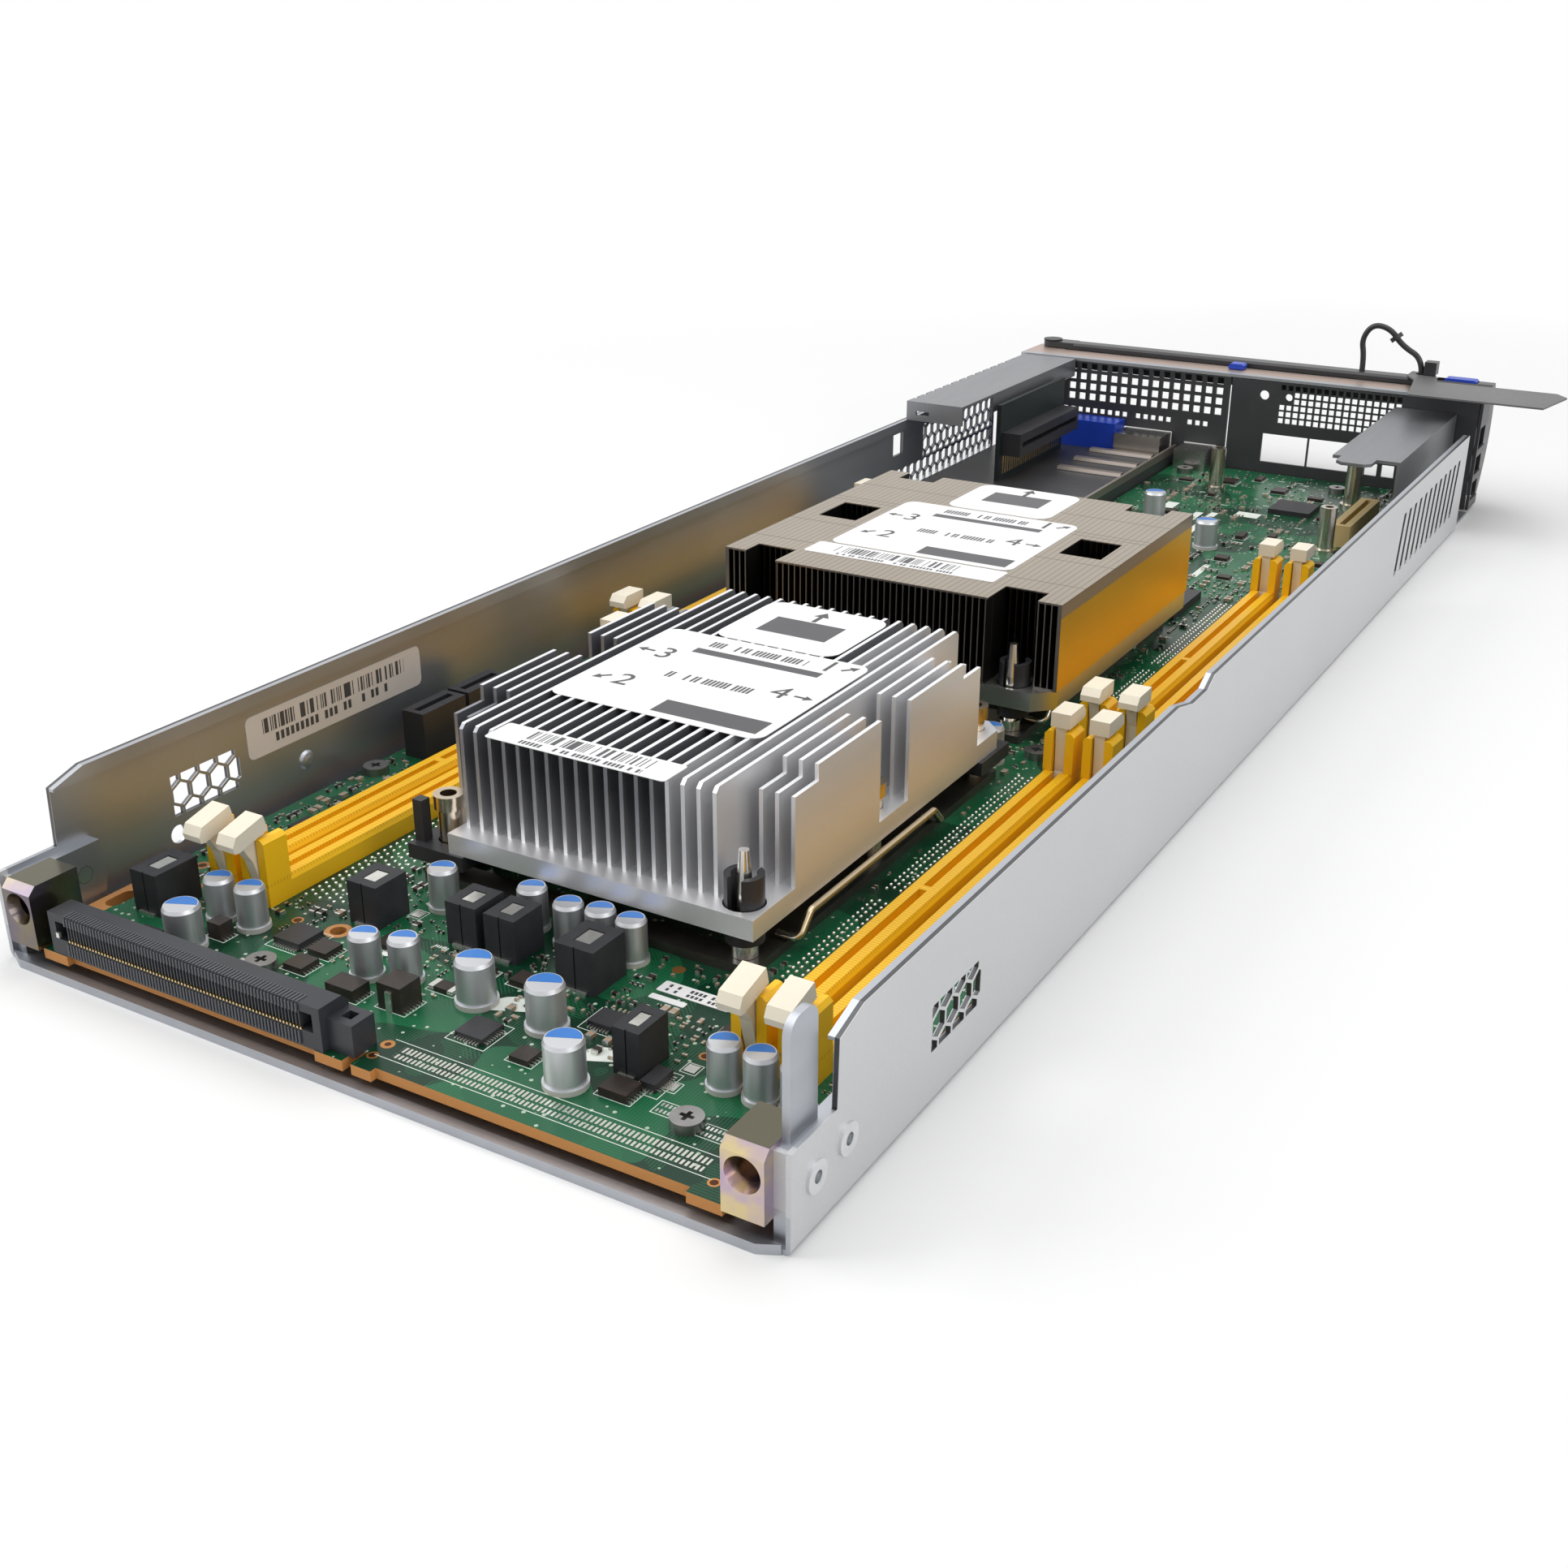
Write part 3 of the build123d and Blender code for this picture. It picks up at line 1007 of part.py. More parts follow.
def latch(x, y, end, is_open):
    """An ivory latch on its trunnion. end is -1 at the near tower and 1 at the far one."""
    neck = TOWER_TOP + LATCH_HEAD_LIFT - LATCH_PIVOT_Z
    top = neck + LATCH_HEAD_HEIGHT
    blade = outline(
        (-LATCH_FOOT_RADIUS, 0), (1.6, 0), (1.9, neck * 0.55), (LATCH_HEAD_INWARD - 0.4, neck),
        (LATCH_HEAD_INWARD - 0.4, neck + 1), (-LATCH_FOOT_RADIUS - 1.4, neck + 1),
        (-LATCH_FOOT_RADIUS - 1.4, neck), (-LATCH_FOOT_RADIUS, neck * 0.6),
    )
    body = side_plate(blade, -LATCH_BLADE / 2, LATCH_BLADE / 2)
    body += Rot(0, 90, 0) * Cylinder(LATCH_FOOT_RADIUS, LATCH_BLADE)
    body += Rot(0, 90, 0) * Cylinder(LATCH_TRUNNION_RADIUS, 2 * trunnion_reach() - SEAT_GAP)
    head = outline(
        (LATCH_HEAD_INWARD, neck), (LATCH_HEAD_INWARD, top), (-LATCH_HEAD_OUTWARD + 1.4, top),
        (-LATCH_HEAD_OUTWARD, top - 1.6), (-LATCH_HEAD_OUTWARD, neck + 0.4),
        (-LATCH_HEAD_OUTWARD + 1.0, neck),
    )
    body += side_plate(head, -LATCH_HEAD_WIDTH / 2, LATCH_HEAD_WIDTH / 2)
    if is_open:
        body = Rot(LATCH_SWING, 0, 0) * body
    if end > 0:
        body = mirror(body, Plane.XZ)
    return Pos(x, y, LATCH_PIVOT_Z) * body


def bank_slots(name):
    """The x of a bank's two slots, outer one first on the right side."""
    x, _, _ = BANKS[name]
    return [x, x - SLOT_PITCH]


def memory_nodes():
    """Each bank's pair of sockets, and every latch by itself."""
    nodes = {}
    for name, (_, near, near_open) in BANKS.items():
        slots = bank_slots(name)
        nodes[f"memory_bank_{name}"] = [memory_socket(x, near) for x in slots]
        pivot_near = near - TOWER_DEPTH / 2
        pivot_far = near + BANK_LENGTH + TOWER_DEPTH / 2
        for number, x in enumerate(slots, start=1):
            nodes[f"latch_{name}{number}_near"] = [latch(x, pivot_near, -1, near_open)]
            nodes[f"latch_{name}{number}_far"] = [latch(x, pivot_far, 1, False)]
    return nodes


def can(x, y, radius):
    """An electrolytic can: crimped foot, waist and rounded top."""
    top = BOARD_TOP + CAN_HEIGHT
    profile = outline(
        (0, BOARD_TOP), (radius, BOARD_TOP), (radius, BOARD_TOP + CAN_FOOT), (radius * 0.9, BOARD_TOP + CAN_FOOT),
        (radius * 0.9, top - CAN_ROUND), (radius * 0.9 - CAN_ROUND / 2, top), (0, top),
    )
    return Pos(x, y, 0) * revolve(Plane.XZ * profile, Axis.Z)


def capacitors():
    """All the cans on the board."""
    small = [can(x, y, SMALL_CAN_RADIUS) for x, y in SMALL_CANS]
    large = [can(x, y, LARGE_CAN_RADIUS) for x, y in LARGE_CANS]
    return small + large


def chokes():
    """Ferrite power chokes: two halves with a seam between them and a window over the strap."""
    solids = []
    top = BOARD_TOP + CHOKE_HEIGHT
    for x, y, width, length in CHOKES:
        body = block(x - width / 2, x + width / 2, y - length / 2, y + length / 2, BOARD_TOP, top)
        body -= Pos(x, y, top) * Box(width * 0.42, length * 0.5, 2 * CHOKE_RECESS)
        for side in (-1, 1):
            body -= Pos(x, y + side * length / 2, (BOARD_TOP + top) / 2) * Box(CHOKE_SEAM, 2 * CHOKE_SEAM, 2 * CHOKE_HEIGHT)
        solids.append(body)
    return solids


def chips():
    """The larger packages on the board."""
    solids = []
    for x, y, width, length, height in CHIPS:
        solids.append(block(x - width / 2, x + width / 2, y - length / 2, y + length / 2,
                            BOARD_TOP, BOARD_TOP + height))
    return solids


def edge_sockets():
    """Upright card sockets beside the left wall."""
    solids = []
    middle = EDGE_SOCKET_INSET - BOARD_HALF_WIDTH
    top = BOARD_TOP + EDGE_SOCKET_HEIGHT
    half = EDGE_SOCKET_WIDTH / 2
    slot = EDGE_SOCKET_SLOT / 2
    for index in range(EDGE_SOCKET_COUNT):
        start = EDGE_SOCKET_START + index * (EDGE_SOCKET_LENGTH + EDGE_SOCKET_GAP)
        end = start + EDGE_SOCKET_LENGTH
        body = block(middle - half, middle + half, start, end, BOARD_TOP, top)
        body -= block(middle - slot, middle + slot, start + EDGE_SOCKET_WALL, end - EDGE_SOCKET_WALL,
                      BOARD_TOP + EDGE_SOCKET_FLOOR, top + SHEET)
        solids.append(body)
    return solids


def card_standoffs():
    """Threaded posts that carry an add-on card."""
    top = BOARD_TOP + STANDOFF_HEIGHT
    profile = outline(
        (0, BOARD_TOP), (STANDOFF_FLANGE_RADIUS, BOARD_TOP), (STANDOFF_FLANGE_RADIUS, BOARD_TOP + STANDOFF_FLANGE),
        (STANDOFF_RADIUS, BOARD_TOP + STANDOFF_FLANGE), (STANDOFF_RADIUS, top), (STANDOFF_BORE, top),
        (STANDOFF_BORE, top - STANDOFF_BORE_DEPTH), (0, top - STANDOFF_BORE_DEPTH),
    )
    return [Pos(x, y, 0) * revolve(Plane.XZ * profile, Axis.Z) for x, y in STANDOFFS]


def mezzanine_connector():
    """The tan board-to-board socket for the add-on card."""
    top = BOARD_TOP + MEZZ_HEIGHT
    start = PANEL_Y - MEZZ_SETBACK
    end = start + MEZZ_LENGTH
    body = block(MEZZ_X - MEZZ_WIDTH / 2, MEZZ_X + MEZZ_WIDTH / 2, start, end, BOARD_TOP, top)
    body -= block(MEZZ_X - MEZZ_SLOT / 2, MEZZ_X + MEZZ_SLOT / 2, start + MEZZ_WALL, end - MEZZ_WALL,
                  BOARD_TOP + MEZZ_WALL, top + SHEET)
    return [body]


def riser_shelf():
    """The blackened shelf in the riser corner, ribbed across and turned up along the board."""
    leg_x = SHELF_INNER_X - SHEET
    section = outline(
        (SHELF_OUTER_X, SHEET), (SHELF_OUTER_X + SHEET, SHEET), (SHELF_OUTER_X + SHEET, SHELF_TOP - SHEET),
        (leg_x, SHELF_TOP - SHEET), (leg_x, SHEET), (SHELF_INNER_X, SHEET),
        (SHELF_INNER_X, SHELF_TOP + SHELF_RIM), (leg_x, SHELF_TOP + SHELF_RIM), (leg_x, SHELF_TOP),
        (SHELF_OUTER_X, SHELF_TOP),
    )
    body = cross_plate(section, SHELF_START, TRAY_LENGTH)
    for setback in SHELF_RIB_SETBACKS:
        y = PANEL_Y - setback
        foot = SHELF_RIB_WIDTH / 2 + SHELF_RIB_FLARE
        rib = outline(
            (y - foot, SHELF_TOP), (y + foot, SHELF_TOP),
            (y + SHELF_RIB_WIDTH / 2, SHELF_TOP + SHELF_RIB_HEIGHT),
            (y - SHELF_RIB_WIDTH / 2, SHELF_TOP + SHELF_RIB_HEIGHT),
        )
        body += side_plate(rib, CARD_X + SHELF_RIB_INSET, leg_x - SHELF_RIB_END)
    return [body]


def riser_cage():
    """The grey cover over the riser card: a scalloped top, a short near flange and a leg by the panel."""
    outer = SHELF_OUTER_X
    end = PANEL_Y - SEAT_GAP
    plan = outline((outer, CAGE_START), (CAGE_INNER_X, CAGE_START), (CAGE_INNER_X, end), (outer, end))
    pitch = (end - CAGE_START) / (SCALLOP_COUNT + 1)
    plan -= [Pos(outer, CAGE_START + pitch * (i + 1)) * RegularPolygon(SCALLOP_RADIUS, 6)
             for i in range(SCALLOP_COUNT)]
    body = flat_plate(plan, CAGE_TOP - SHEET, CAGE_TOP)
    face = window(outer, CAGE_INNER_X, CAGE_TOP - CAGE_FLANGE, CAGE_TOP)
    slot_x = outer + CAGE_SLOT_INSET
    slot_z = CAGE_TOP - CAGE_SLOT_DROP
    face -= window(slot_x, slot_x + CAGE_SLOT_LENGTH, slot_z - CAGE_SLOT_HEIGHT, slot_z)
    body += cross_plate(face, CAGE_START, CAGE_START + SHEET)
    body += block(CAGE_INNER_X - SHEET, CAGE_INNER_X, CARD_START, end, CAGE_TOP - CAGE_FLANGE, CAGE_TOP)
    body += block(outer, outer + SHEET, end - CAGE_LEG_LENGTH, end, SHELF_TOP, CAGE_TOP)
    return [body]


def riser_card():
    """The upright riser card, standing on the shelf."""
    half = CARD_THICK / 2
    return [block(CARD_X - half, CARD_X + half, CARD_START, CARD_END, SHELF_TOP, SHELF_TOP + CARD_HEIGHT)]


def riser_slot():
    """The card-edge slot on the riser card."""
    x0 = CARD_X + CARD_THICK / 2
    x1 = x0 + CARD_SLOT_DEPTH
    low = SHELF_TOP + CARD_SLOT_LIFT
    middle = low + CARD_SLOT_HEIGHT / 2
    start = CARD_START + CARD_SLOT_END
    end = CARD_END - CARD_SLOT_END
    body = block(x0, x1, start, end, low, low + CARD_SLOT_HEIGHT)
    body -= block(x1 - CARD_SLOT_MOUTH_DEPTH, x1 + SHEET, start + CARD_SLOT_END, end - CARD_SLOT_END,
                  middle - CARD_SLOT_MOUTH / 2, middle + CARD_SLOT_MOUTH / 2)
    return [body]


def port_panel():
    """The perforated port panel, with the flange that caps the far end and its two side ears."""
    edge = WALL_INNER
    face = window(-edge, PANEL_SEAM_X - PANEL_SEAM_GAP / 2, PANEL_BOTTOM, PANEL_TOP)
    holes = []
    for column in range(PORT_COLUMN_COUNT):
        for row in range(PORT_ROW_COUNT):
            holes.append(square_at(PORT_FIRST_X + column * PORT_PITCH_X, PORT_TOP_Z - row * PORT_PITCH_Z, PORT_HOLE))
    for start, count in SMALL_ROW_COUNTS:
        for column in range(count):
            holes.append(square_at(start + column * SMALL_PITCH, SMALL_ROW_Z, SMALL_HOLE))
    vga_half = VGA_WIDTH / 2 + SEAT_GAP
    holes.append(window(VGA_X - vga_half, VGA_X + vga_half, SHELF_TOP, SHELF_TOP + VGA_CUT_HEIGHT))
    for x, width, depth, height in PORT_CAGES:
        low = BOARD_TOP if x > RISER_CUT_X else SHELF_TOP
        holes.append(window(x - width / 2 - SEAT_GAP, x + width / 2 + SEAT_GAP, low, low + height + SEAT_GAP))
    body = cross_plate(face - holes, PANEL_Y, PANEL_Y + SHEET)
    body += block(-edge, edge, PANEL_Y, FLANGE_END, PANEL_TOP - SHEET, PANEL_TOP)
    ear_face = window(PANEL_Y, FLANGE_END, PANEL_BOTTOM, PANEL_TOP)
    middle = (PANEL_Y + SHEET + FLANGE_END) / 2
    for z0, z1 in EAR_WINDOWS:
        ear_face -= window(middle - EAR_WINDOW_WIDTH / 2, middle + EAR_WINDOW_WIDTH / 2, z0, z1)
    body += side_plate(ear_face, -edge, -EAR_INNER_X)
    body += side_plate(ear_face, EAR_INNER_X, edge)
    tongue_end = PIVOT_X + KNUCKLE_LENGTH / 2 - SHEET
    body += block(-edge, tongue_end, FLANGE_END - SHEET, BAR_FAR - SHEET, PANEL_TOP - SHEET, PANEL_TOP)
    body -= post(PIVOT_X, BAR_Y, PANEL_TOP - 2 * SHEET, PANEL_TOP + SHEET, PIVOT_RADIUS + RUNNING_GAP)
    return [body]


def card_panel():
    """The removable panel at the right, with a finer grid and the card's port windows."""
    start = PANEL_SEAM_X + PANEL_SEAM_GAP / 2
    top = PANEL_TOP - SHEET - SEAT_GAP
    face = window(start, CARD_PANEL_END, PANEL_BOTTOM, top)
    holes = []
    for column in range(CARD_COLUMN_COUNT):
        for row in range(CARD_ROW_COUNT):
            x = CARD_FIRST_X + column * CARD_PITCH_X
            z = CARD_TOP_Z - row * CARD_PITCH_Z
            clear = [math.hypot(x - hx, z - hz) > radius + ROUND_HOLE_MARGIN for hx, hz, radius in ROUND_HOLES]
            if all(clear):
                holes.append(square_at(x, z, CARD_HOLE))
    for x, width in CARD_WINDOWS:
        holes.append(window(x, x + width, CARD_WINDOW_BOTTOM, CARD_WINDOW_BOTTOM + CARD_WINDOW_HEIGHT))
    for x, z in SMALL_WINDOWS:
        holes.append(window(x, x + SMALL_WINDOW, z, z + SMALL_WINDOW))
    for x, z, radius in ROUND_HOLES:
        holes.append(Pos(x, z) * Circle(radius))
    return [cross_plate(face - holes, PANEL_Y, PANEL_Y + SHEET)]


def video_port():
    """The blue analogue video connector."""
    low = SHELF_TOP
    back = PANEL_Y - SEAT_GAP
    body = block(VGA_X - VGA_WIDTH / 2, VGA_X + VGA_WIDTH / 2, back - VGA_DEPTH, back, low, low + VGA_HEIGHT)
    shell_low = low + VGA_SHELL_LIFT
    shell_high = shell_low + VGA_SHELL_HEIGHT
    shell = outline(
        (VGA_X - VGA_SHELL_BOTTOM / 2, shell_low), (VGA_X + VGA_SHELL_BOTTOM / 2, shell_low),
        (VGA_X + VGA_SHELL_TOP / 2, shell_high), (VGA_X - VGA_SHELL_TOP / 2, shell_high),
    )
    body += cross_plate(shell, back, PANEL_Y + SHEET + VGA_SHELL_REACH)
    return [body]


def port_cages():
    """Stamped cages of the network and serial-bus ports."""
    solids = []
    front = PANEL_Y + SHEET
    for x, width, depth, height in PORT_CAGES:
        low = BOARD_TOP if x > RISER_CUT_X else SHELF_TOP
        inner = width / 2 - CAGE_WALL
        body = block(x - width / 2, x + width / 2, front - depth, front, low, low + height)
        body -= block(x - inner, x + inner, front - depth + 2 * CAGE_WALL, front + SHEET,
                      low + CAGE_WALL, low + height - CAGE_WALL)
        solids.append(body)
    return solids


def wing_bracket():
    """The grey angle at the right that guides the add-on card, with a rounded lead-in tongue."""
    end = PANEL_Y - SEAT_GAP
    section = outline(
        (WING_INNER_X, WING_TOP - SHEET), (WING_X - SHEET, WING_TOP - SHEET), (WING_X - SHEET, BOARD_TOP),
        (WING_X, BOARD_TOP), (WING_X, WING_TOP), (WING_INNER_X, WING_TOP),
    )
    body = cross_plate(section, WING_START, end)
    tongue_end = WING_START - WING_TONGUE_REACH
    left = WING_INNER_X + WING_TONGUE_INSET
    right = left + WING_TONGUE_WIDTH
    corner = WING_TONGUE_CORNER
    tongue = outline(
        (left, WING_START), (left, tongue_end + corner), (left + corner, tongue_end), (right - corner, tongue_end),
        (right, tongue_end + corner), (right, WING_START),
    )
    body += flat_plate(tongue, WING_TOP - SHEET, WING_TOP)
    return [body]


def ejector_lever():
    """The black lever: a channel bar across the far end, a flat knuckle at the left and a curved post."""
    near = BAR_Y - BAR_DEPTH / 2
    knuckle_end = PIVOT_X + KNUCKLE_LENGTH / 2
    knuckle_z = PANEL_TOP + SEAT_GAP
    bevel = BAR_WALL / 2
    section = outline(
        (near, BAR_BOTTOM), (near + BAR_WALL, BAR_BOTTOM), (near + BAR_WALL, BAR_TOP - BAR_WALL),
        (BAR_FAR - BAR_WALL, BAR_TOP - BAR_WALL), (BAR_FAR - BAR_WALL, BAR_BOTTOM), (BAR_FAR, BAR_BOTTOM),
        (BAR_FAR, BAR_TOP - bevel), (BAR_FAR - bevel, BAR_TOP), (near + bevel, BAR_TOP), (near, BAR_TOP - bevel),
    )
    body = side_plate(section, knuckle_end, POST_X)
    body += block(PIVOT_X, knuckle_end + BAR_WALL, near, BAR_FAR, knuckle_z, BAR_TOP)
    body += post(PIVOT_X, BAR_Y, knuckle_z, BAR_TOP, BAR_DEPTH / 2)
    body -= post(PIVOT_X, BAR_Y, knuckle_z - SHEET, BAR_TOP + SHEET, PIVOT_RADIUS + RUNNING_GAP)
    middle = (BAR_TOP + POST_BOTTOM) / 2
    post_near = FLANGE_END + SEAT_GAP
    foot = BAR_FAR - POST_FOOT
    crown = BAR_FAR - bevel
    with BuildSketch() as side:
        with BuildLine():
            Polyline((foot, POST_BOTTOM), (post_near, POST_BOTTOM + POST_ROUND), (post_near, BAR_TOP - POST_ROUND),
                     (post_near + POST_ROUND, BAR_TOP), (crown, BAR_TOP))
            ThreePointArc((crown, BAR_TOP), (BAR_FAR + POST_BULGE / 2, middle), (foot, POST_BOTTOM))
        make_face()
    body += side_plate(side.sketch, POST_X, POST_X + POST_THICK)
    half = TAB_DEPTH / 2 + SEAT_GAP
    body -= block(TAB_START - TAB_TRAVEL - SEAT_GAP, TAB_START + TAB_LENGTH + SEAT_GAP, BAR_Y - half, BAR_Y + half,
                  BAR_TOP - 2 * BAR_WALL, BAR_TOP + SHEET)
    return [body]


def lever_pivot():
    """The shouldered rivet that the lever turns on."""
    body = post(PIVOT_X, BAR_Y, PANEL_TOP - SHEET - PIVOT_HEAD, BAR_TOP + SEAT_GAP / 2, PIVOT_RADIUS)
    body += post(PIVOT_X, BAR_Y, PANEL_TOP - SHEET - PIVOT_HEAD, PANEL_TOP - SHEET, PIVOT_HEAD_RADIUS)
    body += post(PIVOT_X, BAR_Y, BAR_TOP + SEAT_GAP / 2, BAR_TOP + SEAT_GAP / 2 + PIVOT_HEAD / 2, PIVOT_HEAD_RADIUS)
    return [body]


def release_tab():
    """The blue thumb slide in the lever's end."""
    low = BAR_TOP - TAB_HEIGHT + TAB_RISE
    body = block(TAB_START, TAB_START + TAB_LENGTH, BAR_Y - TAB_DEPTH / 2, BAR_Y + TAB_DEPTH / 2,
                 low, BAR_TOP + TAB_RISE)
    ends = body.edges().filter_by(Axis.Y).group_by(Axis.Z)[-1]
    body = chamfer(ends, TAB_CHAMFER)
    return [body]


def panel_catch():
    """The small blue catch that locks the card panel's seam, sliding along the flange."""
    low = PANEL_TOP + SEAT_GAP
    body = block(CATCH_X, CATCH_X + CATCH_WIDTH, CATCH_Y, CATCH_Y + CATCH_DEPTH, low, low + CATCH_HEIGHT)
    ends = body.edges().filter_by(Axis.Y).group_by(Axis.Z)[-1]
    body = chamfer(ends, CATCH_CHAMFER)
    return [body]


def route_radii(points):
    """Bend radii that leave a short straight between neighbouring arcs of a route."""
    radii = []
    for before, here, after in zip(points, points[1:], points[2:]):
        first = Vector(*here) - Vector(*before)
        second = Vector(*after) - Vector(*here)
        half_turn = math.radians(first.get_angle(second)) / 2
        radii.append(0.45 * min(first.length, second.length) / math.tan(half_turn))
    return radii


def tag_tie():
    """The nylon tie: it leaves the lever, loops up and goes back into the lever."""
    path = FilletPolyline(*TIE_ROUTE, radius=route_radii(TIE_ROUTE))
    start = Vector(*TIE_ROUTE[0])
    section = Plane(origin=start, z_dir=Vector(*TIE_ROUTE[1]) - start) * Circle(TIE_DIAMETER / 2)
    return [sweep(section, path=path)]


def tie_beads():
    """The tie's moulded bead and the buckle that grips its end on the lever."""
    start = Vector(*TIE_ROUTE[4])
    along = Vector(*TIE_ROUTE[5]) - start
    middle = start + along * BEAD_SHARE
    sleeve = Cylinder(BEAD_RADIUS, BEAD_LENGTH) - Cylinder(TIE_DIAMETER / 2, BEAD_LENGTH)
    bead = Plane(origin=middle, z_dir=along) * sleeve
    end_x, end_y, _ = TIE_ROUTE[-1]
    start = end_x + TIE_DIAMETER / 2 + RUNNING_GAP
    buckle = block(start, start + BUCKLE_LENGTH, end_y - BUCKLE_DEPTH / 2, end_y + BUCKLE_DEPTH / 2,
                   BUCKLE_BOTTOM, BUCKLE_BOTTOM + BUCKLE_HEIGHT)
    return [bead, buckle]


def tag():
    """The thin plastic tag: a narrow tail round the tie that widens into a plate over the flange's end."""
    tie_x, tie_y, _ = TIE_ROUTE[-1]
    far = tie_y - TAG_OFFSET
    near = far - TAG_WIDTH
    end = TAG_START_X + TAG_LENGTH
    neck = TAG_START_X + TAG_NECK
    low = BAR_TOP + TAG_LIFT
    plan = outline(
        (TAG_START_X, tie_y - TAG_TAIL_HALF), (TAG_START_X, tie_y + TAG_TAIL_HALF),
        (neck, tie_y + TAG_TAIL_HALF), (neck + TAG_CORNER, far), (end - TAG_CORNER, far),
        (end, far - TAG_TIP), (end - TAG_CORNER, near), (neck, near), (TAG_START_X + TAG_CORNER, far),
    )
    plan -= Pos(tie_x - RUNNING_GAP, tie_y) * Circle(TAG_HOLE_RADIUS)
    return [flat_plate(plan, low, low + TAG_THICK)]


def all_nodes():
    """Every sub-part by name, as its list of solids."""
    nodes = {
        "tray": tray(),
        "guide_block_left": guide_block(-1),
        "guide_block_right": guide_block(1),
        "block_brackets": block_brackets(),
        "rivets": rivets(),
        "main_board": main_board(),
        "board_screws": board_screws(),
        "docking_connector": docking_connector(),
        "processor_sockets": processor_sockets(),
        "processors": processors(),
        "near_frame": retention_frame(sinks()[0]),
        "far_frame": retention_frame(sinks()[1]),
        "near_carrier": carrier_clip(sinks()[0]),
        "far_carrier": carrier_clip(sinks()[1]),
        "captive_nuts": captive_nuts(),
        "near_heatsink": near_heatsink(),
        "far_heatsink_base": far_heatsink_base(),
        "far_heatsink_fins": far_heatsink_fins(),
        "capacitors": capacitors(),
        "chokes": chokes(),
        "chips": chips(),
        "edge_sockets": edge_sockets(),
        "card_standoffs": card_standoffs(),
        "mezzanine_connector": mezzanine_connector(),
        "riser_shelf": riser_shelf(),
        "riser_cage": riser_cage(),
        "riser_card": riser_card(),
        "riser_slot": riser_slot(),
        "port_panel": port_panel(),
        "card_panel": card_panel(),
        "video_port": video_port(),
        "port_cages": port_cages(),
        "wing_bracket": wing_bracket(),
        "ejector_lever": ejector_lever(),
        "lever_pivot": lever_pivot(),
        "release_tab": release_tab(),
        "panel_catch": panel_catch(),
        "tag_tie": tag_tie(),
        "tie_beads": tie_beads(),
        "tag": tag(),
    }
    nodes.update(memory_nodes())
    return nodes


def middle_y(nodes):
    """The middle of the sled along Y, leaving out what hangs on the tie."""
    boxes = [solid.bounding_box() for name, shapes in nodes.items() if name not in TIED_NODES
             for shape in shapes for solid in shape.solids()]
    return (min(box.min.Y for box in boxes) + max(box.max.Y for box in boxes)) / 2


os.makedirs("parts", exist_ok=True)
nodes = all_nodes()
origin_y = middle_y(nodes)
print("origin at y", round(origin_y, 4), "tie radii", [round(r, 2) for r in route_radii(TIE_ROUTE)])
for name, shapes in nodes.items():
    solids = [solid for shape in shapes for solid in shape.solids()]
    placed = Compound(children=solids).moved(Location((0, -origin_y, 0)))
    export_step(placed, f"parts/{name}.step")
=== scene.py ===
"""Multi node server sled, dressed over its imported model. Metres, in the model's frame, Z up."""
import math

import bpy
import numpy as np
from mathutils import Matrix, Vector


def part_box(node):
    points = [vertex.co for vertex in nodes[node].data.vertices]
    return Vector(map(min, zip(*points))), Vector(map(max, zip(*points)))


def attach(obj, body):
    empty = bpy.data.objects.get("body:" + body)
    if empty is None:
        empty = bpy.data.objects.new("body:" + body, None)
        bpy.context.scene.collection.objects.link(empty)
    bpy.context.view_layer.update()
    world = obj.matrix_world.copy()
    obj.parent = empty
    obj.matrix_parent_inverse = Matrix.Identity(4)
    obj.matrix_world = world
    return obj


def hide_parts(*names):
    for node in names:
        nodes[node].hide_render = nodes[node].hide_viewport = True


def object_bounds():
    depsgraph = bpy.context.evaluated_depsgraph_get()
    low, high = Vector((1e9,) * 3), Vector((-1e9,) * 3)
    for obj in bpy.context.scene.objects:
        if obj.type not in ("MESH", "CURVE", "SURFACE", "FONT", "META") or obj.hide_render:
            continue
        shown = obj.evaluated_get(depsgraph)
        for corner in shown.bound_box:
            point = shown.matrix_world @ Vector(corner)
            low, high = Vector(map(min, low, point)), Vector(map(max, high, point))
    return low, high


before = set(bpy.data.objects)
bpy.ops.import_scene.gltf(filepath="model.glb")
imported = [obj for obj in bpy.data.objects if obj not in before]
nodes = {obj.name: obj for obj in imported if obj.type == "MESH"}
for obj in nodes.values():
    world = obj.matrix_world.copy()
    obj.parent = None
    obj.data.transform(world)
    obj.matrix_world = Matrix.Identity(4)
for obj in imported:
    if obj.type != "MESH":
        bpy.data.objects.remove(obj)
cad_low, cad_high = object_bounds()

# Sled coordinates.
# Sizes below are in millimetres, with y = 0 at the board's docking edge and z = 0 under the tray,
# as the sled is dimensioned; sled() turns them into the model's metres.
MM = 0.001
TRAY_LIP = 3.0
SLED_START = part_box("tray")[0].y / MM + TRAY_LIP


def sled(points):
    """Sled millimetres, as an array of x, y, z rows, turned into metres from the middle of the underside."""
    return (np.asarray(points, float).reshape(-1, 3) + (0.0, SLED_START, 0.0)) * MM


def extent(node):
    """Lowest and highest corner of one of the sled's own pieces, in sled millimetres."""
    low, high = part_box(node)
    return (np.array(low) / MM - (0, SLED_START, 0), np.array(high) / MM - (0, SLED_START, 0))


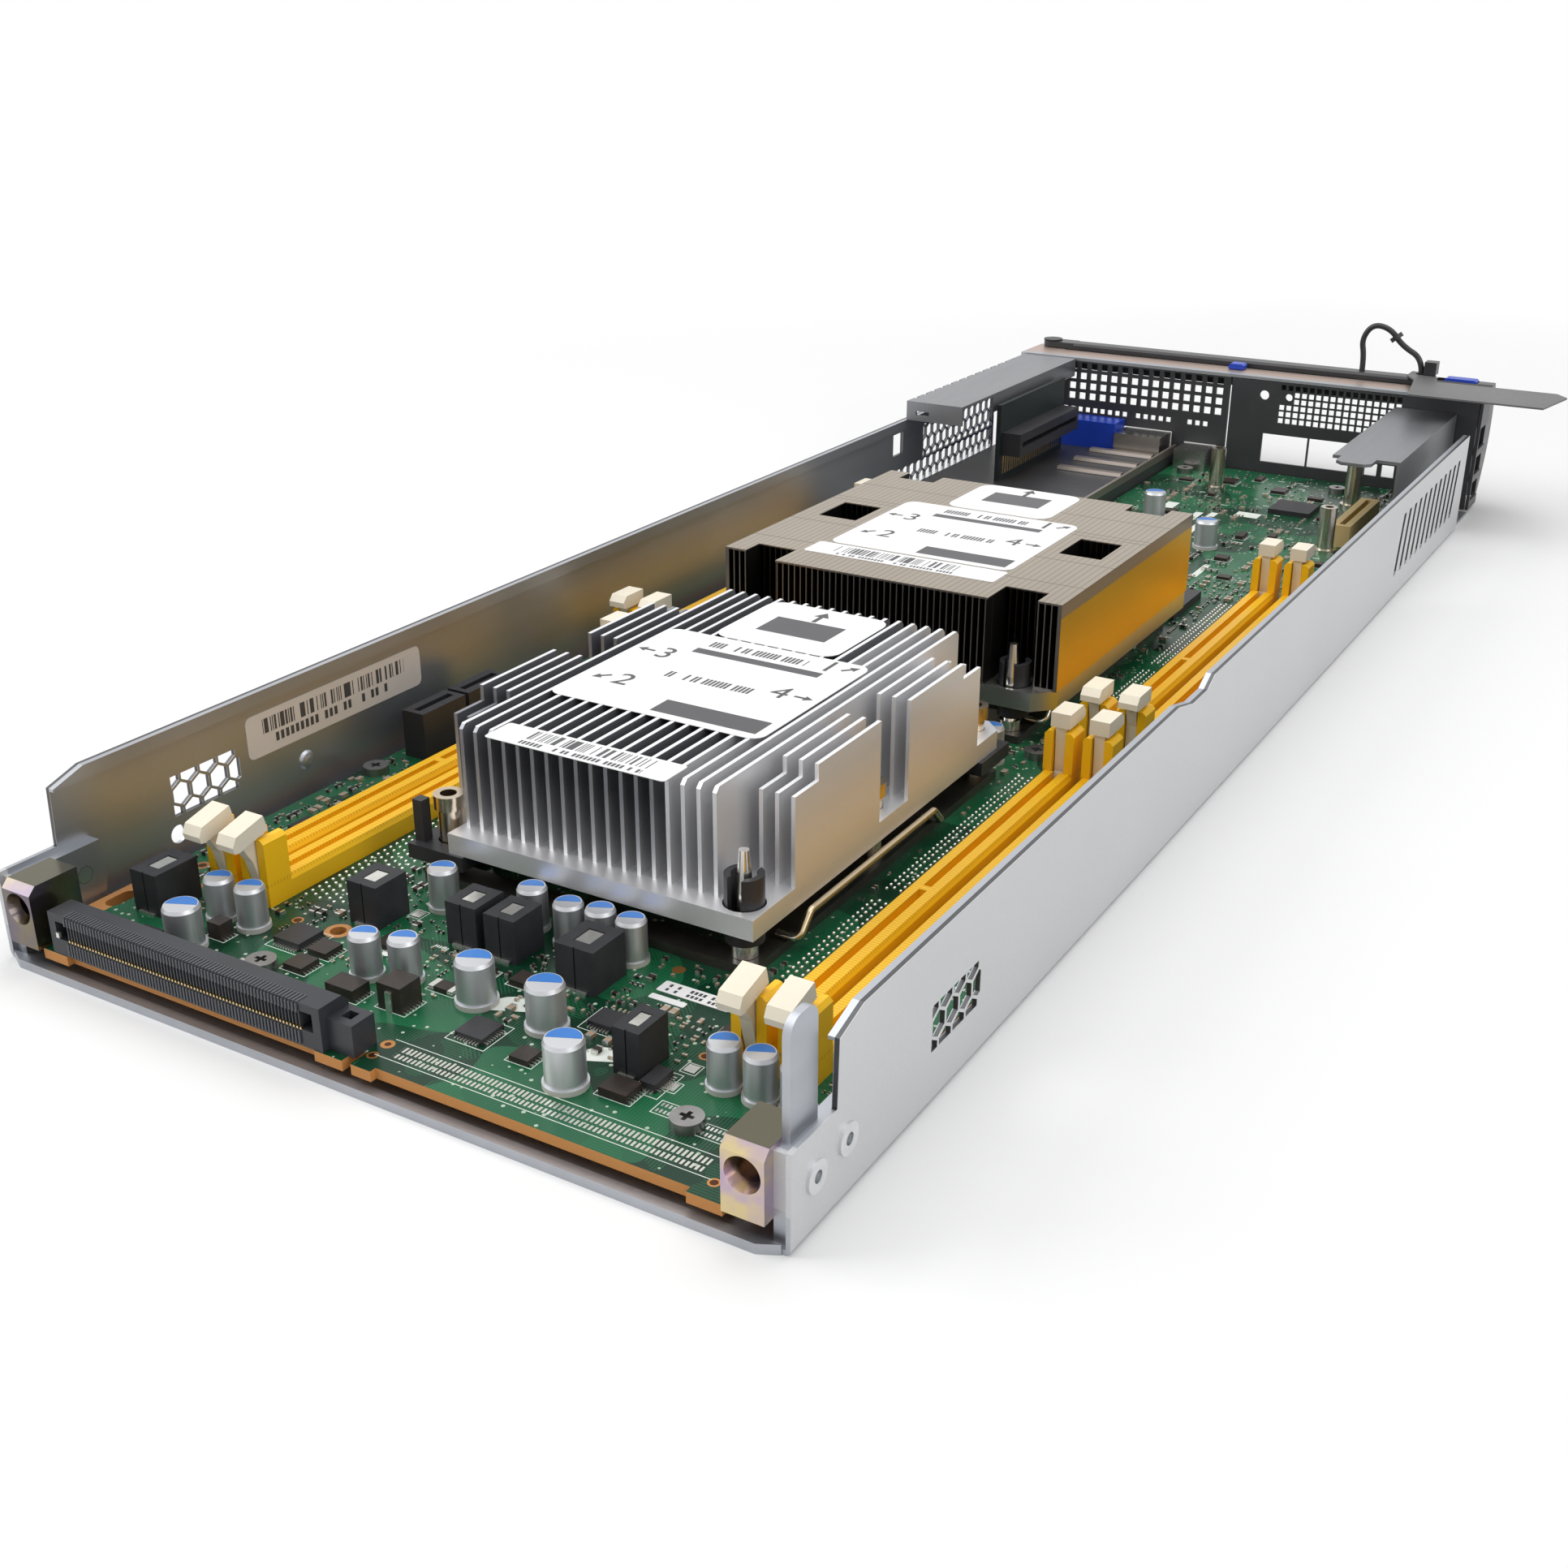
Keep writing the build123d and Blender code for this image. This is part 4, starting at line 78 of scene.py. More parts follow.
# The photographer's view.
# The camera stands off the sled's right docking corner and looks down along it, with no shift.
LENS = 41.19
SENSOR = 36.0
EYE = (195.1, -183.8, 171.6)
TURN = math.radians(30.835)
DIP = math.radians(24.15)
camera_data = bpy.data.cameras.new("camera")
camera_data.lens = LENS
camera_data.sensor_width = SENSOR
camera_data.clip_start = 0.01
camera = bpy.data.objects.new("camera", camera_data)
camera.location = sled(EYE)[0]
camera.rotation_euler = (math.pi / 2 - DIP, 0.0, TURN)
bpy.context.scene.collection.objects.link(camera)
bpy.context.scene.camera = camera
bpy.context.scene.view_settings.view_transform = "Standard"


# Folded tray.
# Zinc-coated steel, blanked, hemmed along the wall tops and folded up on a press brake. The coating is a
# dull grey with a faint grain along the strip, and the outer faces are coloured paler. A warm band along
# the left wall's inside is a painted reflection, and the vents' cut faces are painted dark as shade.
# Every finish below is built with this section's Shade.
class Socket:
    """One output of a shader tree: an expression on sockets and numbers adds Math nodes."""

    def __init__(self, shade, output):
        self.shade = shade
        self.output = output

    def math(self, operation, first, second=0.0):
        return self.shade.add("Math", {"operation": operation}, {0: first, 1: second})[0]

    def __add__(self, other):
        return self.math("ADD", self, other)

    def __sub__(self, other):
        return self.math("SUBTRACT", self, other)

    def __rsub__(self, other):
        return self.math("SUBTRACT", other, self)

    def __mul__(self, other):
        return self.math("MULTIPLY", self, other)

    def __mod__(self, other):
        return self.math("FLOORED_MODULO", self, other)

    def __gt__(self, other):
        return self.math("GREATER_THAN", self, other)

    def __lt__(self, other):
        return self.math("LESS_THAN", self, other)

    def __or__(self, other):
        return self.math("MAXIMUM", self, other)

    def __abs__(self):
        return self.math("ABSOLUTE", self)

    __radd__ = __add__
    __rmul__ = __mul__


class Shade:
    """A material and its tree. add() makes any node from its type, its settings and its sockets."""

    def __init__(self, name):
        self.material = bpy.data.materials.new(name)
        self.material.use_nodes = True
        self.tree = self.material.node_tree
        self.surface = self.tree.nodes["Principled BSDF"]

    def feed(self, target, value):
        if isinstance(value, Socket):
            self.tree.links.new(value.output, target)
        else:
            target.default_value = value

    def add(self, kind, settings=None, sockets=None):
        node = self.tree.nodes.new("ShaderNode" + kind)
        for key, value in (settings or {}).items():
            setattr(node, key, value)
        for key, value in (sockets or {}).items():
            self.feed(node.inputs[key], value)
        return [Socket(self, output) for output in node.outputs]

    def place(self):
        """The object coordinates, whole and as x, y and z in sled millimetres."""
        whole = self.add("TexCoord")[3]
        x, y, z = self.add("SeparateXYZ", {}, {0: whole})
        return whole, x * (1 / MM), y * (1 / MM) - SLED_START, z * (1 / MM)

    def noise(self, where, scale, detail=3.0, stretch=(1.0, 1.0, 1.0)):
        """Soft noise from 0 to 1, with `scale` patches to the metre, stretched along an axis if asked."""
        moved = self.add("Mapping", {}, {0: where, "Scale": stretch})[0]
        return self.add("TexNoise", {}, {"Vector": moved, "Scale": scale, "Detail": detail})[0]

    def inside(self, x, y, patch):
        """1 inside a rectangle given as its two x and its two y."""
        x0, x1, y0, y1 = patch
        return (x > x0) * (x < x1) * (y > y0) * (y < y1)

    def disc(self, x, y, spot, radius):
        """1 inside a circle: the square of the distance is under the square of the radius."""
        across = x - spot[0]
        along = y - spot[1]
        return (across * across + along * along) < radius * radius

    def steps(self, along, pitch):
        """A chance value from 0 to 1 for each step of `pitch` along a line, as in a bar pattern."""
        count = self.add("Math", {"operation": "FLOOR"}, {0: along * (1 / pitch)})[0]
        return self.add("TexWhiteNoise", {"noise_dimensions": "1D"}, {"W": count})[0]

    def mix(self, factor, first, second):
        """A colour between two others."""
        return self.add("Mix", {"data_type": "RGBA"}, {"Factor": factor, 6: first, 7: second})[2]

    def clamp(self, value):
        """A value kept between 0 and 1."""
        return self.add("Clamp", {}, {"Value": value})[0]

    def any_of(self, parts):
        """The largest of several values: 1 where any of them is."""
        whole = parts[0]
        for part in parts[1:]:
            whole = whole | part
        return whole

    def bump(self, height, depth):
        """Surface relief of `depth` millimetres."""
        return self.add("Bump", {}, {"Height": height, "Distance": depth * MM, "Strength": 1.0})[0]

    def set(self, **values):
        names = {"colour": "Base Color", "rough": "Roughness", "metal": "Metallic", "normal": "Normal",
                 "gloss": "Specular IOR Level"}
        for key, value in values.items():
            self.feed(self.surface.inputs[names[key]], value)
        return self.material


def rgb(red, green, blue):
    return (red, green, blue, 1.0)


def grey(level):
    return (level, level, level, 1.0)


FINE_GRAIN = 14


def finish(name, colour, other, grain, rough, spread=0.08, metal=0.0, relief=0.01, stretch=(1.0, 1.0, 1.0),
           gloss=0.4):
    """An even finish: two close colours and a roughness that drift with noise, over a fine relief."""
    shade = Shade(name)
    where = shade.place()[0]
    drift = shade.noise(where, grain, 4.0, stretch)
    fine = shade.noise(where, grain * FINE_GRAIN, 2.0, stretch)
    return shade.set(
        colour=shade.mix(drift, colour, other), rough=drift * spread + fine * spread + (rough - spread),
        metal=metal, gloss=gloss, normal=shade.bump(fine, relief))


def dress(material, *names):
    """Gives the sled's own solids their finish."""
    for name in names:
        slots = nodes[name].data.materials
        if len(slots) == 0:
            slots.append(material)
        for index in range(len(slots)):
            slots[index] = material


ZINC_GREY = rgb(0.52, 0.54, 0.575)
ZINC_DARK = rgb(0.33, 0.345, 0.375)
ZINC_OUTER = rgb(0.62, 0.625, 0.635)
ZINC_SPECK = rgb(0.50, 0.505, 0.515)
ZINC_WARM_REFLECTION = rgb(0.60, 0.40, 0.15)
ZINC_CUT_SHADE = rgb(0.10, 0.10, 0.105)
OUTER_SKIN = 0.2
DOCK_FACE = 1.0
DOCK_FACE_LOW = 7.0
LUG_END = 12.0
REFLECTION_END = 300.0
REFLECTION_HEIGHT = 27.0
REFLECTION_HALF = 7.0
CUT_DEPTH = 0.9
CUT_SKIN = 0.08
VENT_SPAN = (9.0, 33.0)
wall_outer = extent("tray")[1][0]
zinc = Shade("zinc_sheet")
where, x, y, z = zinc.place()
cloud = zinc.noise(where, 22.0, 5.0)
streak = zinc.noise(where, 260.0, 3.0, (1.0, 0.04, 1.0))
speck = zinc.noise(where, 1400.0, 2.0)
# The vents' cut faces, inside the wall's thickness, are painted dark as shade.
cut_face_shade = ((abs(x) > wall_outer - CUT_DEPTH) * (abs(x) < wall_outer - CUT_SKIN) * (y > LUG_END)
             * (z > VENT_SPAN[0]) * (z < VENT_SPAN[1]))
outer_face = ((abs(x) > wall_outer - OUTER_SKIN) | (y < DOCK_FACE) * (z > DOCK_FACE_LOW)) * (1 - cut_face_shade)
# A warm band along the left wall's inside is a painted reflection.
reflection_wall = (x < 1.0 - wall_outer) * (y > LUG_END) * (y < REFLECTION_END) * (1 - cut_face_shade)
reflection_band = (1 - abs(z - REFLECTION_HEIGHT) * (1 / REFLECTION_HALF)) | 0.0
inner = zinc.mix(cloud * 0.7 + streak * 0.3, ZINC_DARK, ZINC_GREY)
inner = zinc.mix(cut_face_shade, inner, ZINC_CUT_SHADE)
inner = zinc.mix(reflection_band * reflection_wall * (cloud * 0.8 + 0.35), inner, ZINC_WARM_REFLECTION)
outer = zinc.mix(speck * 0.5 + cloud * 0.5, ZINC_SPECK, ZINC_OUTER)
zinc_material = zinc.set(
    colour=zinc.mix(outer_face, inner, outer), rough=cloud * 0.12 + speck * 0.10 + 0.30 + outer_face * 0.06,
    metal=0.92 - outer_face * 0.40, normal=zinc.bump(speck + streak * 0.6, 0.012))
dress(zinc_material, "tray", "block_brackets")

GREY_SHEET = rgb(0.27, 0.275, 0.29)
GREY_SHEET_DARK = rgb(0.19, 0.195, 0.21)
grey_sheet = finish("grey_sheet", GREY_SHEET, GREY_SHEET_DARK, 40.0, 0.40, 0.08, 0.7, 0.01, (1.0, 0.1, 1.0))
dress(grey_sheet, "wing_bracket", "riser_cage")

# Guide blocks, rivets and board screws.
# Machined steel blocks in a yellow passivate that shows pink and violet on its ends and olive on top; the
# olive is darkened as painted shade, and the left block is painted darker as shade. The blocks are riveted
# through the wall with bright semi-tubular rivets. The board's screws are darker steel.
PASSIVATE_GOLD = rgb(0.66, 0.54, 0.30)
PASSIVATE_VIOLET = rgb(0.44, 0.34, 0.54)
PASSIVATE_OLIVE_SHADE = rgb(0.145, 0.135, 0.095)
PASSIVATE_SHADED = 0.75
SHADE_GREY = grey(0.05)
VIOLET_FROM = 0.44
VIOLET_MORE = 0.07
VIOLET_SHARP = 7.0
BLOCK_TOP = extent("guide_block_left")[1][2]
passivate = Shade("passivate")
where, x, y, z = passivate.place()
bands = passivate.noise(where, 110.0, 3.0)
scratch = passivate.noise(where, 500.0, 2.0, (1.0, 1.0, 0.1))
violet = passivate.clamp((bands + (x > 0.0) * VIOLET_MORE - VIOLET_FROM) * VIOLET_SHARP) * 0.8
front_tint = passivate.mix(violet, PASSIVATE_GOLD, PASSIVATE_VIOLET)
# The left block (x below 0) is painted darker as shade.
far_from_lamp = passivate.mix((x < 0.0) * PASSIVATE_SHADED, front_tint, SHADE_GREY)
# The top faces take a dark olive: the passivate's tint, darkened as painted shade.
passivate_material = passivate.set(
    colour=passivate.mix(z > BLOCK_TOP - 0.05, far_from_lamp, PASSIVATE_OLIVE_SHADE),
    rough=bands * 0.08 + scratch * 0.06 + 0.14, metal=0.95, normal=passivate.bump(scratch, 0.002))
dress(passivate_material, "guide_block_left", "guide_block_right")
RIVET_BRIGHT = rgb(0.80, 0.82, 0.84)
RIVET_DULL = rgb(0.62, 0.63, 0.64)
SCREW_STEEL = rgb(0.36, 0.35, 0.34)
SCREW_DARK = rgb(0.22, 0.215, 0.21)
dress(finish("rivet_steel", RIVET_BRIGHT, RIVET_DULL, 300.0, 0.3, 0.06, 0.95), "rivets")
dress(finish("screw_steel", SCREW_STEEL, SCREW_DARK, 300.0, 0.34, 0.06, 0.95), "board_screws")

# Main board.
# Glass-fibre laminate under a green solder mask: bundles of tracks and filled planes show as lighter and
# darker green with a slight relief, plated holes as pale dots, and the routed edge is bare brown laminate.
MASK_DEEP = rgb(0.0018, 0.030, 0.013)
MASK_GREEN = rgb(0.0035, 0.060, 0.025)
MASK_TRACK = rgb(0.014, 0.135, 0.055)
LAMINATE = rgb(0.50, 0.22, 0.06)
HOLE_TINT = rgb(0.42, 0.50, 0.40)
TRACK_PITCH = 0.62
TRACK_SHARE = 0.45
SLANT_SHARE = 0.4
PAD_SHARE = 0.55
SLOT_RING = (-83.4, -78.0, 14.2, 24.8)
PAD_ROWS = [(6.3, 1.7), (4.2, 1.3)]
PAD_PITCH = 0.92
PAD_START = 6.0
PAD_END = 68.5
PAD_SILVER = rgb(0.62, 0.61, 0.55)
COPPER = rgb(0.55, 0.25, 0.08)
HOLE_SHADE_BROWN = rgb(0.09, 0.03, 0.01)
RINGS = [((-32.8, 31.6), 2.7, 1.6), ((-70.3, 30.9), 1.2, 0.8), ((-42.6, 30.8), 1.2, 0.8),
         ((51.5, 30.9), 1.2, 0.8), ((2.9, 2.3), 1.1, 0.7), ((71.7, 2.3), 1.1, 0.7), ((31.4, 52.7), 1.3, 0.0),
         ((2.8, 6.2), 1.3, 0.6), ((-76.5, 38.0), 1.6, 0.9)]
board_top = extent("main_board")[1][2]
board = Shade("main_board")
where, x, y, z = board.place()
edge = z < board_top - 0.03
region = board.noise(where, 46.0, 2.0)
other_region = board.noise(where, 61.0, 2.0, (1.0, 0.8, 1.3))
slant_pitch = TRACK_PITCH * 1.5
lanes_x = ((x % TRACK_PITCH) < TRACK_PITCH * TRACK_SHARE) * (region > 0.54)
lanes_y = ((y % TRACK_PITCH) < TRACK_PITCH * TRACK_SHARE) * (region < 0.43)
lanes_slant = (((x + y) % slant_pitch) < slant_pitch * SLANT_SHARE) * (other_region > 0.58)
tracks = lanes_x | lanes_y | lanes_slant
plane = board.noise(where, 30.0, 1.0) > 0.5
cells = board.add("TexVoronoi", {}, {"Vector": where, "Scale": 420.0})[0]
via = (cells < 0.16) * (other_region > 0.40)
pads = board.any_of([(abs(y - row) < length / 2) * (x > PAD_START) * (x < PAD_END)
                     for row, length in PAD_ROWS]) * ((x % PAD_PITCH) < PAD_PITCH * PAD_SHARE)
ring = board.any_of([board.disc(x, y, spot, outer) for spot, outer, hole in RINGS])
bore_shade = board.any_of([board.disc(x, y, spot, hole) for spot, outer, hole in RINGS if hole > 0])
slot_ring = board.inside(x, y, SLOT_RING)
mask_colour = board.mix(plane * 0.5 + tracks * 0.5, board.mix(plane, MASK_DEEP, MASK_GREEN), MASK_TRACK)
mask_colour = board.mix(via, mask_colour, HOLE_TINT)
mask_colour = board.mix(ring | slot_ring, mask_colour, COPPER)
# Each hole's bore is painted dark brown as the shade inside the hole.
mask_colour = board.mix(bore_shade, mask_colour, HOLE_SHADE_BROWN)
mask_colour = board.mix(pads, mask_colour, PAD_SILVER)
board_material = board.set(
    colour=board.mix(edge, mask_colour, LAMINATE), metal=(pads | ring * 0.7) * (1 - edge),
    rough=board.noise(where, 90.0) * 0.12 + 0.22 + edge * 0.35, gloss=0.3,
    normal=board.bump(tracks * 0.4 + via * 0.5 + pads, 0.03))
dress(board_material, "main_board")


# Solder.
# The memory sockets' pins come through in staggered rows of bright solder beside each bank, and more
# joints stand along the docking edge.
def show(name, mesh, material):
    """Puts a mesh in the scene as a piece that rides on the sled and takes a slot's finish."""
    mesh.materials.append(material)
    piece = bpy.data.objects.new(name, mesh)
    bpy.context.scene.collection.objects.link(piece)
    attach(piece, "sled")


def solid(name, material, points, faces):
    """A closed mesh of points, in metres, and faces."""
    mesh = bpy.data.meshes.new(name)
    mesh.from_pydata(points.tolist(), [], [face.tolist() for face in faces])
    show(name, mesh, material)


def bricks(name, material, rows):
    """Rectangular pieces in one mesh: a row of x0, x1, y0, y1, z0, z1 gives eight corners and six faces."""
    rows = np.asarray(rows, float).reshape(-1, 6)
    x_pick = np.array([0, 1, 1, 0, 0, 1, 1, 0])
    y_pick = np.array([2, 2, 3, 3, 2, 2, 3, 3])
    z_pick = np.array([4, 4, 4, 4, 5, 5, 5, 5])
    corners = np.stack([rows[:, x_pick], rows[:, y_pick], rows[:, z_pick]], axis=-1)
    faces = np.array([(3, 2, 1, 0), (4, 5, 6, 7), (0, 1, 5, 4), (1, 2, 6, 5), (2, 3, 7, 6), (3, 0, 4, 7)])
    faces = (faces[None] + 8 * np.arange(len(rows))[:, None, None]).reshape(-1, 4)
    solid(name, material, sled(corners), faces)


def domes(name, material, spots, radius, height, low, turns=8, upright=False):
    """Low domes on a floor, or on a wall if upright, one to a spot: three shrinking rings and a flat top."""
    spots = np.asarray(spots, float)
    angle = np.arange(turns) * (2 * math.pi / turns)
    ring = np.stack([np.cos(angle), np.sin(angle)], axis=-1)
    levels = [(1.0, 0.0), (0.8, 0.66), (0.35, 1.0)]
    layers = [np.concatenate([spots[:, None] + ring[None] * radius * share,
                              np.full((len(spots), turns, 1), low + height * rise)], axis=-1)
              for share, rise in levels]
    points = np.stack(layers, axis=1)
    if upright:
        points = points[..., [2, 0, 1]]
    around = np.arange(turns)
    after = (around + 1) % turns
    sides = [np.stack([around, after, after + turns, around + turns], axis=-1) + step * turns
             for step in range(len(levels) - 1)]
    base = turns * len(levels) * np.arange(len(spots))
    quads = (np.concatenate(sides)[None] + base[:, None, None]).reshape(-1, 4)
    tops = around[None] + 2 * turns + base[:, None]
    floors = around[None, ::-1] + base[:, None]
    solid(name, material, sled(points), [*quads, *tops, *floors])


def plate(name, material, rim, low, thick, upright=False):
    """A thin plate on a floor, or on a wall if upright: a rim drawn anticlockwise and raised by `thick`."""
    count = len(rim)
    points = np.concatenate([np.column_stack([rim, np.full(count, level)]) for level in (low, low + thick)])
    if upright:
        points = points[:, [2, 0, 1]]
    around = np.arange(count)
    after = (around + 1) % count
    sides = np.stack([around, after, after + count, around + count], axis=-1)
    solid(name, material, sled(points), [*sides, around[::-1], around + count])


SOLDER_LIGHT = rgb(0.80, 0.80, 0.76)
SOLDER_DARK = rgb(0.58, 0.57, 0.52)
solder = finish("solder", SOLDER_LIGHT, SOLDER_DARK, 500.0, 0.22, 0.05, 0.85)
JOINT_PITCH = 1.9
JOINT_ROWS = [(49.0, 0.0), (50.3, 0.95), (52.0, 0.3)]
LEFT_JOINT_ROWS = [(-49.0, 0.0), (-47.3, 0.95), (-45.4, 0.2), (-43.6, 1.1), (-41.8, 0.4), (-40.2, 1.3)]
JOINT_SPANS = [(58.5, 96.5), (101.0, 166.0), (190.0, 246.5), (252.0, 310.0)]
LEFT_JOINT_SPANS = [(39.5, 96.5), (101.0, 166.0)]
joints = []
for rows, spans in ((JOINT_ROWS, JOINT_SPANS), (LEFT_JOINT_ROWS, LEFT_JOINT_SPANS)):
    for row_x, offset in rows:
        for start, end in spans:
            along = np.arange(start + offset, end, JOINT_PITCH)
            joints.append(np.stack([np.full_like(along, row_x), along], axis=-1))
domes("solder_joints", solder, np.concatenate(joints), 0.42, 0.32, board_top)

# Small parts on the board.
# Chip resistors and capacitors with bright ends, small packages with leads, bare pads and printed white
# outlines, placed wherever nothing else stands on the board, closer together at the docking end.
CELL = 0.5
STANDING_HEIGHT = 4.0
MARGIN = 2
SPREAD_SEED = 11
SILK_LIFT = 0.03
SILK_WIDTH = 0.16
board_low, board_high = extent("main_board")


def cell(place, axis):
    """The number of the board's cell that holds a place along an axis."""
    return int((place - board_low[axis]) / CELL)


free = np.ones((cell(board_high[0], 0), cell(board_high[1], 1)), bool)


def mark(x0, x1, y0, y1, margin=MARGIN):
    """Takes a rectangle of the board, and a margin of cells round it, off the free places."""
    free[max(cell(x0, 0) - margin, 0):cell(x1, 0) + margin + 1,
         max(cell(y0, 1) - margin, 0):cell(y1, 1) + margin + 1] = False


def is_free(x0, x1, y0, y1):
    """Whether nothing stands in a rectangle of the board that lies wholly on it."""
    if x0 < board_low[0] + 1 or y0 < board_low[1] + 2 or x1 > board_high[0] - 1 or y1 > board_high[1] - 2:
        return False
    return free[cell(x0, 0):cell(x1, 0) + 1, cell(y0, 1):cell(y1, 1) + 1].all()


def area(at_x, at_y, wide, long, more_x=0.0, more_y=0.0):
    """The two x and the two y of a rectangle round a middle, with more on every side if asked."""
    return (at_x - wide / 2 - more_x, at_x + wide / 2 + more_x,
            at_y - long / 2 - more_y, at_y + long / 2 + more_y)


BARE_NODES = ("tray", "main_board", "tag", "tag_tie", "tie_beads", "near_heatsink", "far_heatsink_fins",
              "ejector_lever", "release_tab", "panel_catch", "riser_cage", "wing_bracket")
for node_name, node in nodes.items():
    if node_name in BARE_NODES:
        continue
    places = np.empty(len(node.data.vertices) * 3)
    node.data.vertices.foreach_get("co", places)
    places = places.reshape(-1, 3) / MM - (0, SLED_START, 0)
    corners = np.empty(len(node.data.loops), int)
    node.data.loops.foreach_get("vertex_index", corners)
    triangle = places[corners].reshape(-1, 3, 3)
    low, high = triangle.min(1), triangle.max(1)
    standing = (low[:, 2] < board_top + STANDING_HEIGHT) & (high[:, 2] > board_top + 0.05)
    for near, far in zip(low[standing], high[standing]):
        mark(near[0], far[0], near[1], far[1])
mark(JOINT_ROWS[0][0], JOINT_ROWS[-1][0], JOINT_SPANS[0][0], JOINT_SPANS[-1][1])
mark(LEFT_JOINT_ROWS[0][0], LEFT_JOINT_ROWS[-1][0], LEFT_JOINT_SPANS[0][0], LEFT_JOINT_SPANS[-1][1])
for spot, outer, hole in RINGS:
    mark(*area(*spot, 2 * outer, 2 * outer), 1)
KEPT_CLEAR = [(2.0, 72.0, 1.0, 9.5), (-84.0, -77.5, 13.0, 26.0), (30.5, 48.5, 41.0, 49.5)]
for patch in KEPT_CLEAR:
    mark(*patch, 0)

spread = np.random.default_rng(SPREAD_SEED)
ZONES = [
    (2600, (-82.0, 78.0), (3.0, 58.0)), (900, (-82.0, -66.0), (30.0, 330.0)),
    (350, (42.0, 58.0), (58.0, 330.0)), (250, (-50.0, -34.0), (58.0, 330.0)),
    (500, (-60.0, 60.0), (165.0, 186.0)), (500, (-60.0, 60.0), (286.0, 334.0)),
    (330, (-18.0, 80.0), (330.0, 462.0)),
]
PART_KINDS = [(1.0, 0.5, 0.4), (1.6, 0.8, 0.5), (2.0, 1.25, 0.8), (0.8, 0.4, 0.35)]
resistors, ceramics, part_ends, packages, leads, print_lines, bare_pads = [], [], [], [], [], [], []


def outline(x0, x1, y0, y1):
    """Four printed lines round a rectangle."""
    top, line = board_top + SILK_LIFT, SILK_WIDTH
    print_lines.extend([
        (x0, x1, y0, y0 + line, board_top, top), (x0, x1, y1 - line, y1, board_top, top),
        (x0, x0 + line, y0 + line, y1 - line, board_top, top),
        (x1 - line, x1, y0 + line, y1 - line, board_top, top)])


PACKAGE_PITCH = 0.8
PACKAGE_REACH = 0.7


def package(at_x, at_y, wide, long, tall):
    """A black package with a row of bright leads along each long side."""
    packages.append((*area(at_x, at_y, wide, long), board_top + 0.08, board_top + tall))
    first = at_y - long / 2 + PACKAGE_PITCH / 2
    for lead_y in np.arange(first, at_y + long / 2 - PACKAGE_PITCH / 4, PACKAGE_PITCH):
        for side in (-1, 1):
            root = at_x + side * wide / 2
            tip = root + side * PACKAGE_REACH
            leads.append((min(root, tip), max(root, tip), lead_y, lead_y + PACKAGE_PITCH * 0.45,
                          board_top, board_top + 0.3))
    outline(*area(at_x, at_y, wide, long, 0.9, 0.3))


LARGE_PACKAGES = [(-29.1, 24.3, 4.6, 4.6, 1.3), (-29.0, 18.0, 4.6, 4.6, 1.3), (-15.0, 15.4, 6.6, 4.4, 2.4),
                  (-4.2, 17.2, 5.4, 5.4, 5.2), (-50.6, 18.8, 3.4, 3.2, 3.4), (25.8, 14.8, 4.0, 4.0, 1.1),
                  (45.5, 14.6, 5.6, 4.6, 1.6), (1.0, 32.5, 5.0, 5.0, 1.1), (-20.0, 33.0, 5.0, 5.0, 1.1),
                  (10.5, 34.5, 5.0, 4.0, 1.2), (52.0, 38.0, 4.0, 4.0, 1.0)]
for at_x, at_y, wide, long, tall in LARGE_PACKAGES:
    package(at_x, at_y, wide, long, tall)
    mark(*area(at_x, at_y, wide, long, 1.2, 0.8), 0)
SHUNTS = [(-20.3, 10.6), (-0.9, 25.4), (-37.0, 12.5)]
SHUNT_WIDE, SHUNT_LONG, SHUNT_TALL = 5.6, 2.8, 0.9
for at_x, at_y in SHUNTS:
    x0, x1, y0, y1 = area(at_x, at_y, SHUNT_WIDE, SHUNT_LONG)
    body = SHUNT_WIDE / 2 * 0.55
    resistors.append((at_x - body, at_x + body, y0, y1, board_top, board_top + SHUNT_TALL))
    for low_x, high_x in ((x0, at_x - body), (at_x + body, x1)):
        part_ends.append((low_x, high_x, y0, y1, board_top, board_top + SHUNT_TALL - 0.1))
    outline(*area(at_x, at_y, SHUNT_WIDE, SHUNT_LONG, 0.5, 0.5))
    mark(*area(at_x, at_y, SHUNT_WIDE, SHUNT_LONG, 0.8, 0.8), 0)
FOOTPRINTS = [(52.6, 60.6, 12.6, 16.4), (62.4, 69.0, 10.9, 14.7)]
for low_x, high_x, low_y, high_y in FOOTPRINTS:
    for pad_x in np.arange(low_x + 0.6, high_x - 0.6, 0.75):
        for pad_y in (low_y + 0.6, high_y - 1.5):
            bare_pads.append((pad_x, pad_x + 0.42, pad_y, pad_y + 0.95, board_top, board_top + 0.05))
    outline(low_x, high_x, low_y, high_y)
    mark(low_x, high_x, low_y, high_y, 1)
SOLDER_SQUARES = [(51.7, 26.4), (51.7, 20.3), (-24.0, 44.5), (-13.8, 50.0)]
for at_x, at_y in SOLDER_SQUARES:
    bare_pads.append((*area(at_x, at_y, 2.2, 2.2), board_top, board_top + 0.12))
    outline(*area(at_x, at_y, 3.2, 3.2))
    mark(*area(at_x, at_y, 3.6, 3.6), 0)

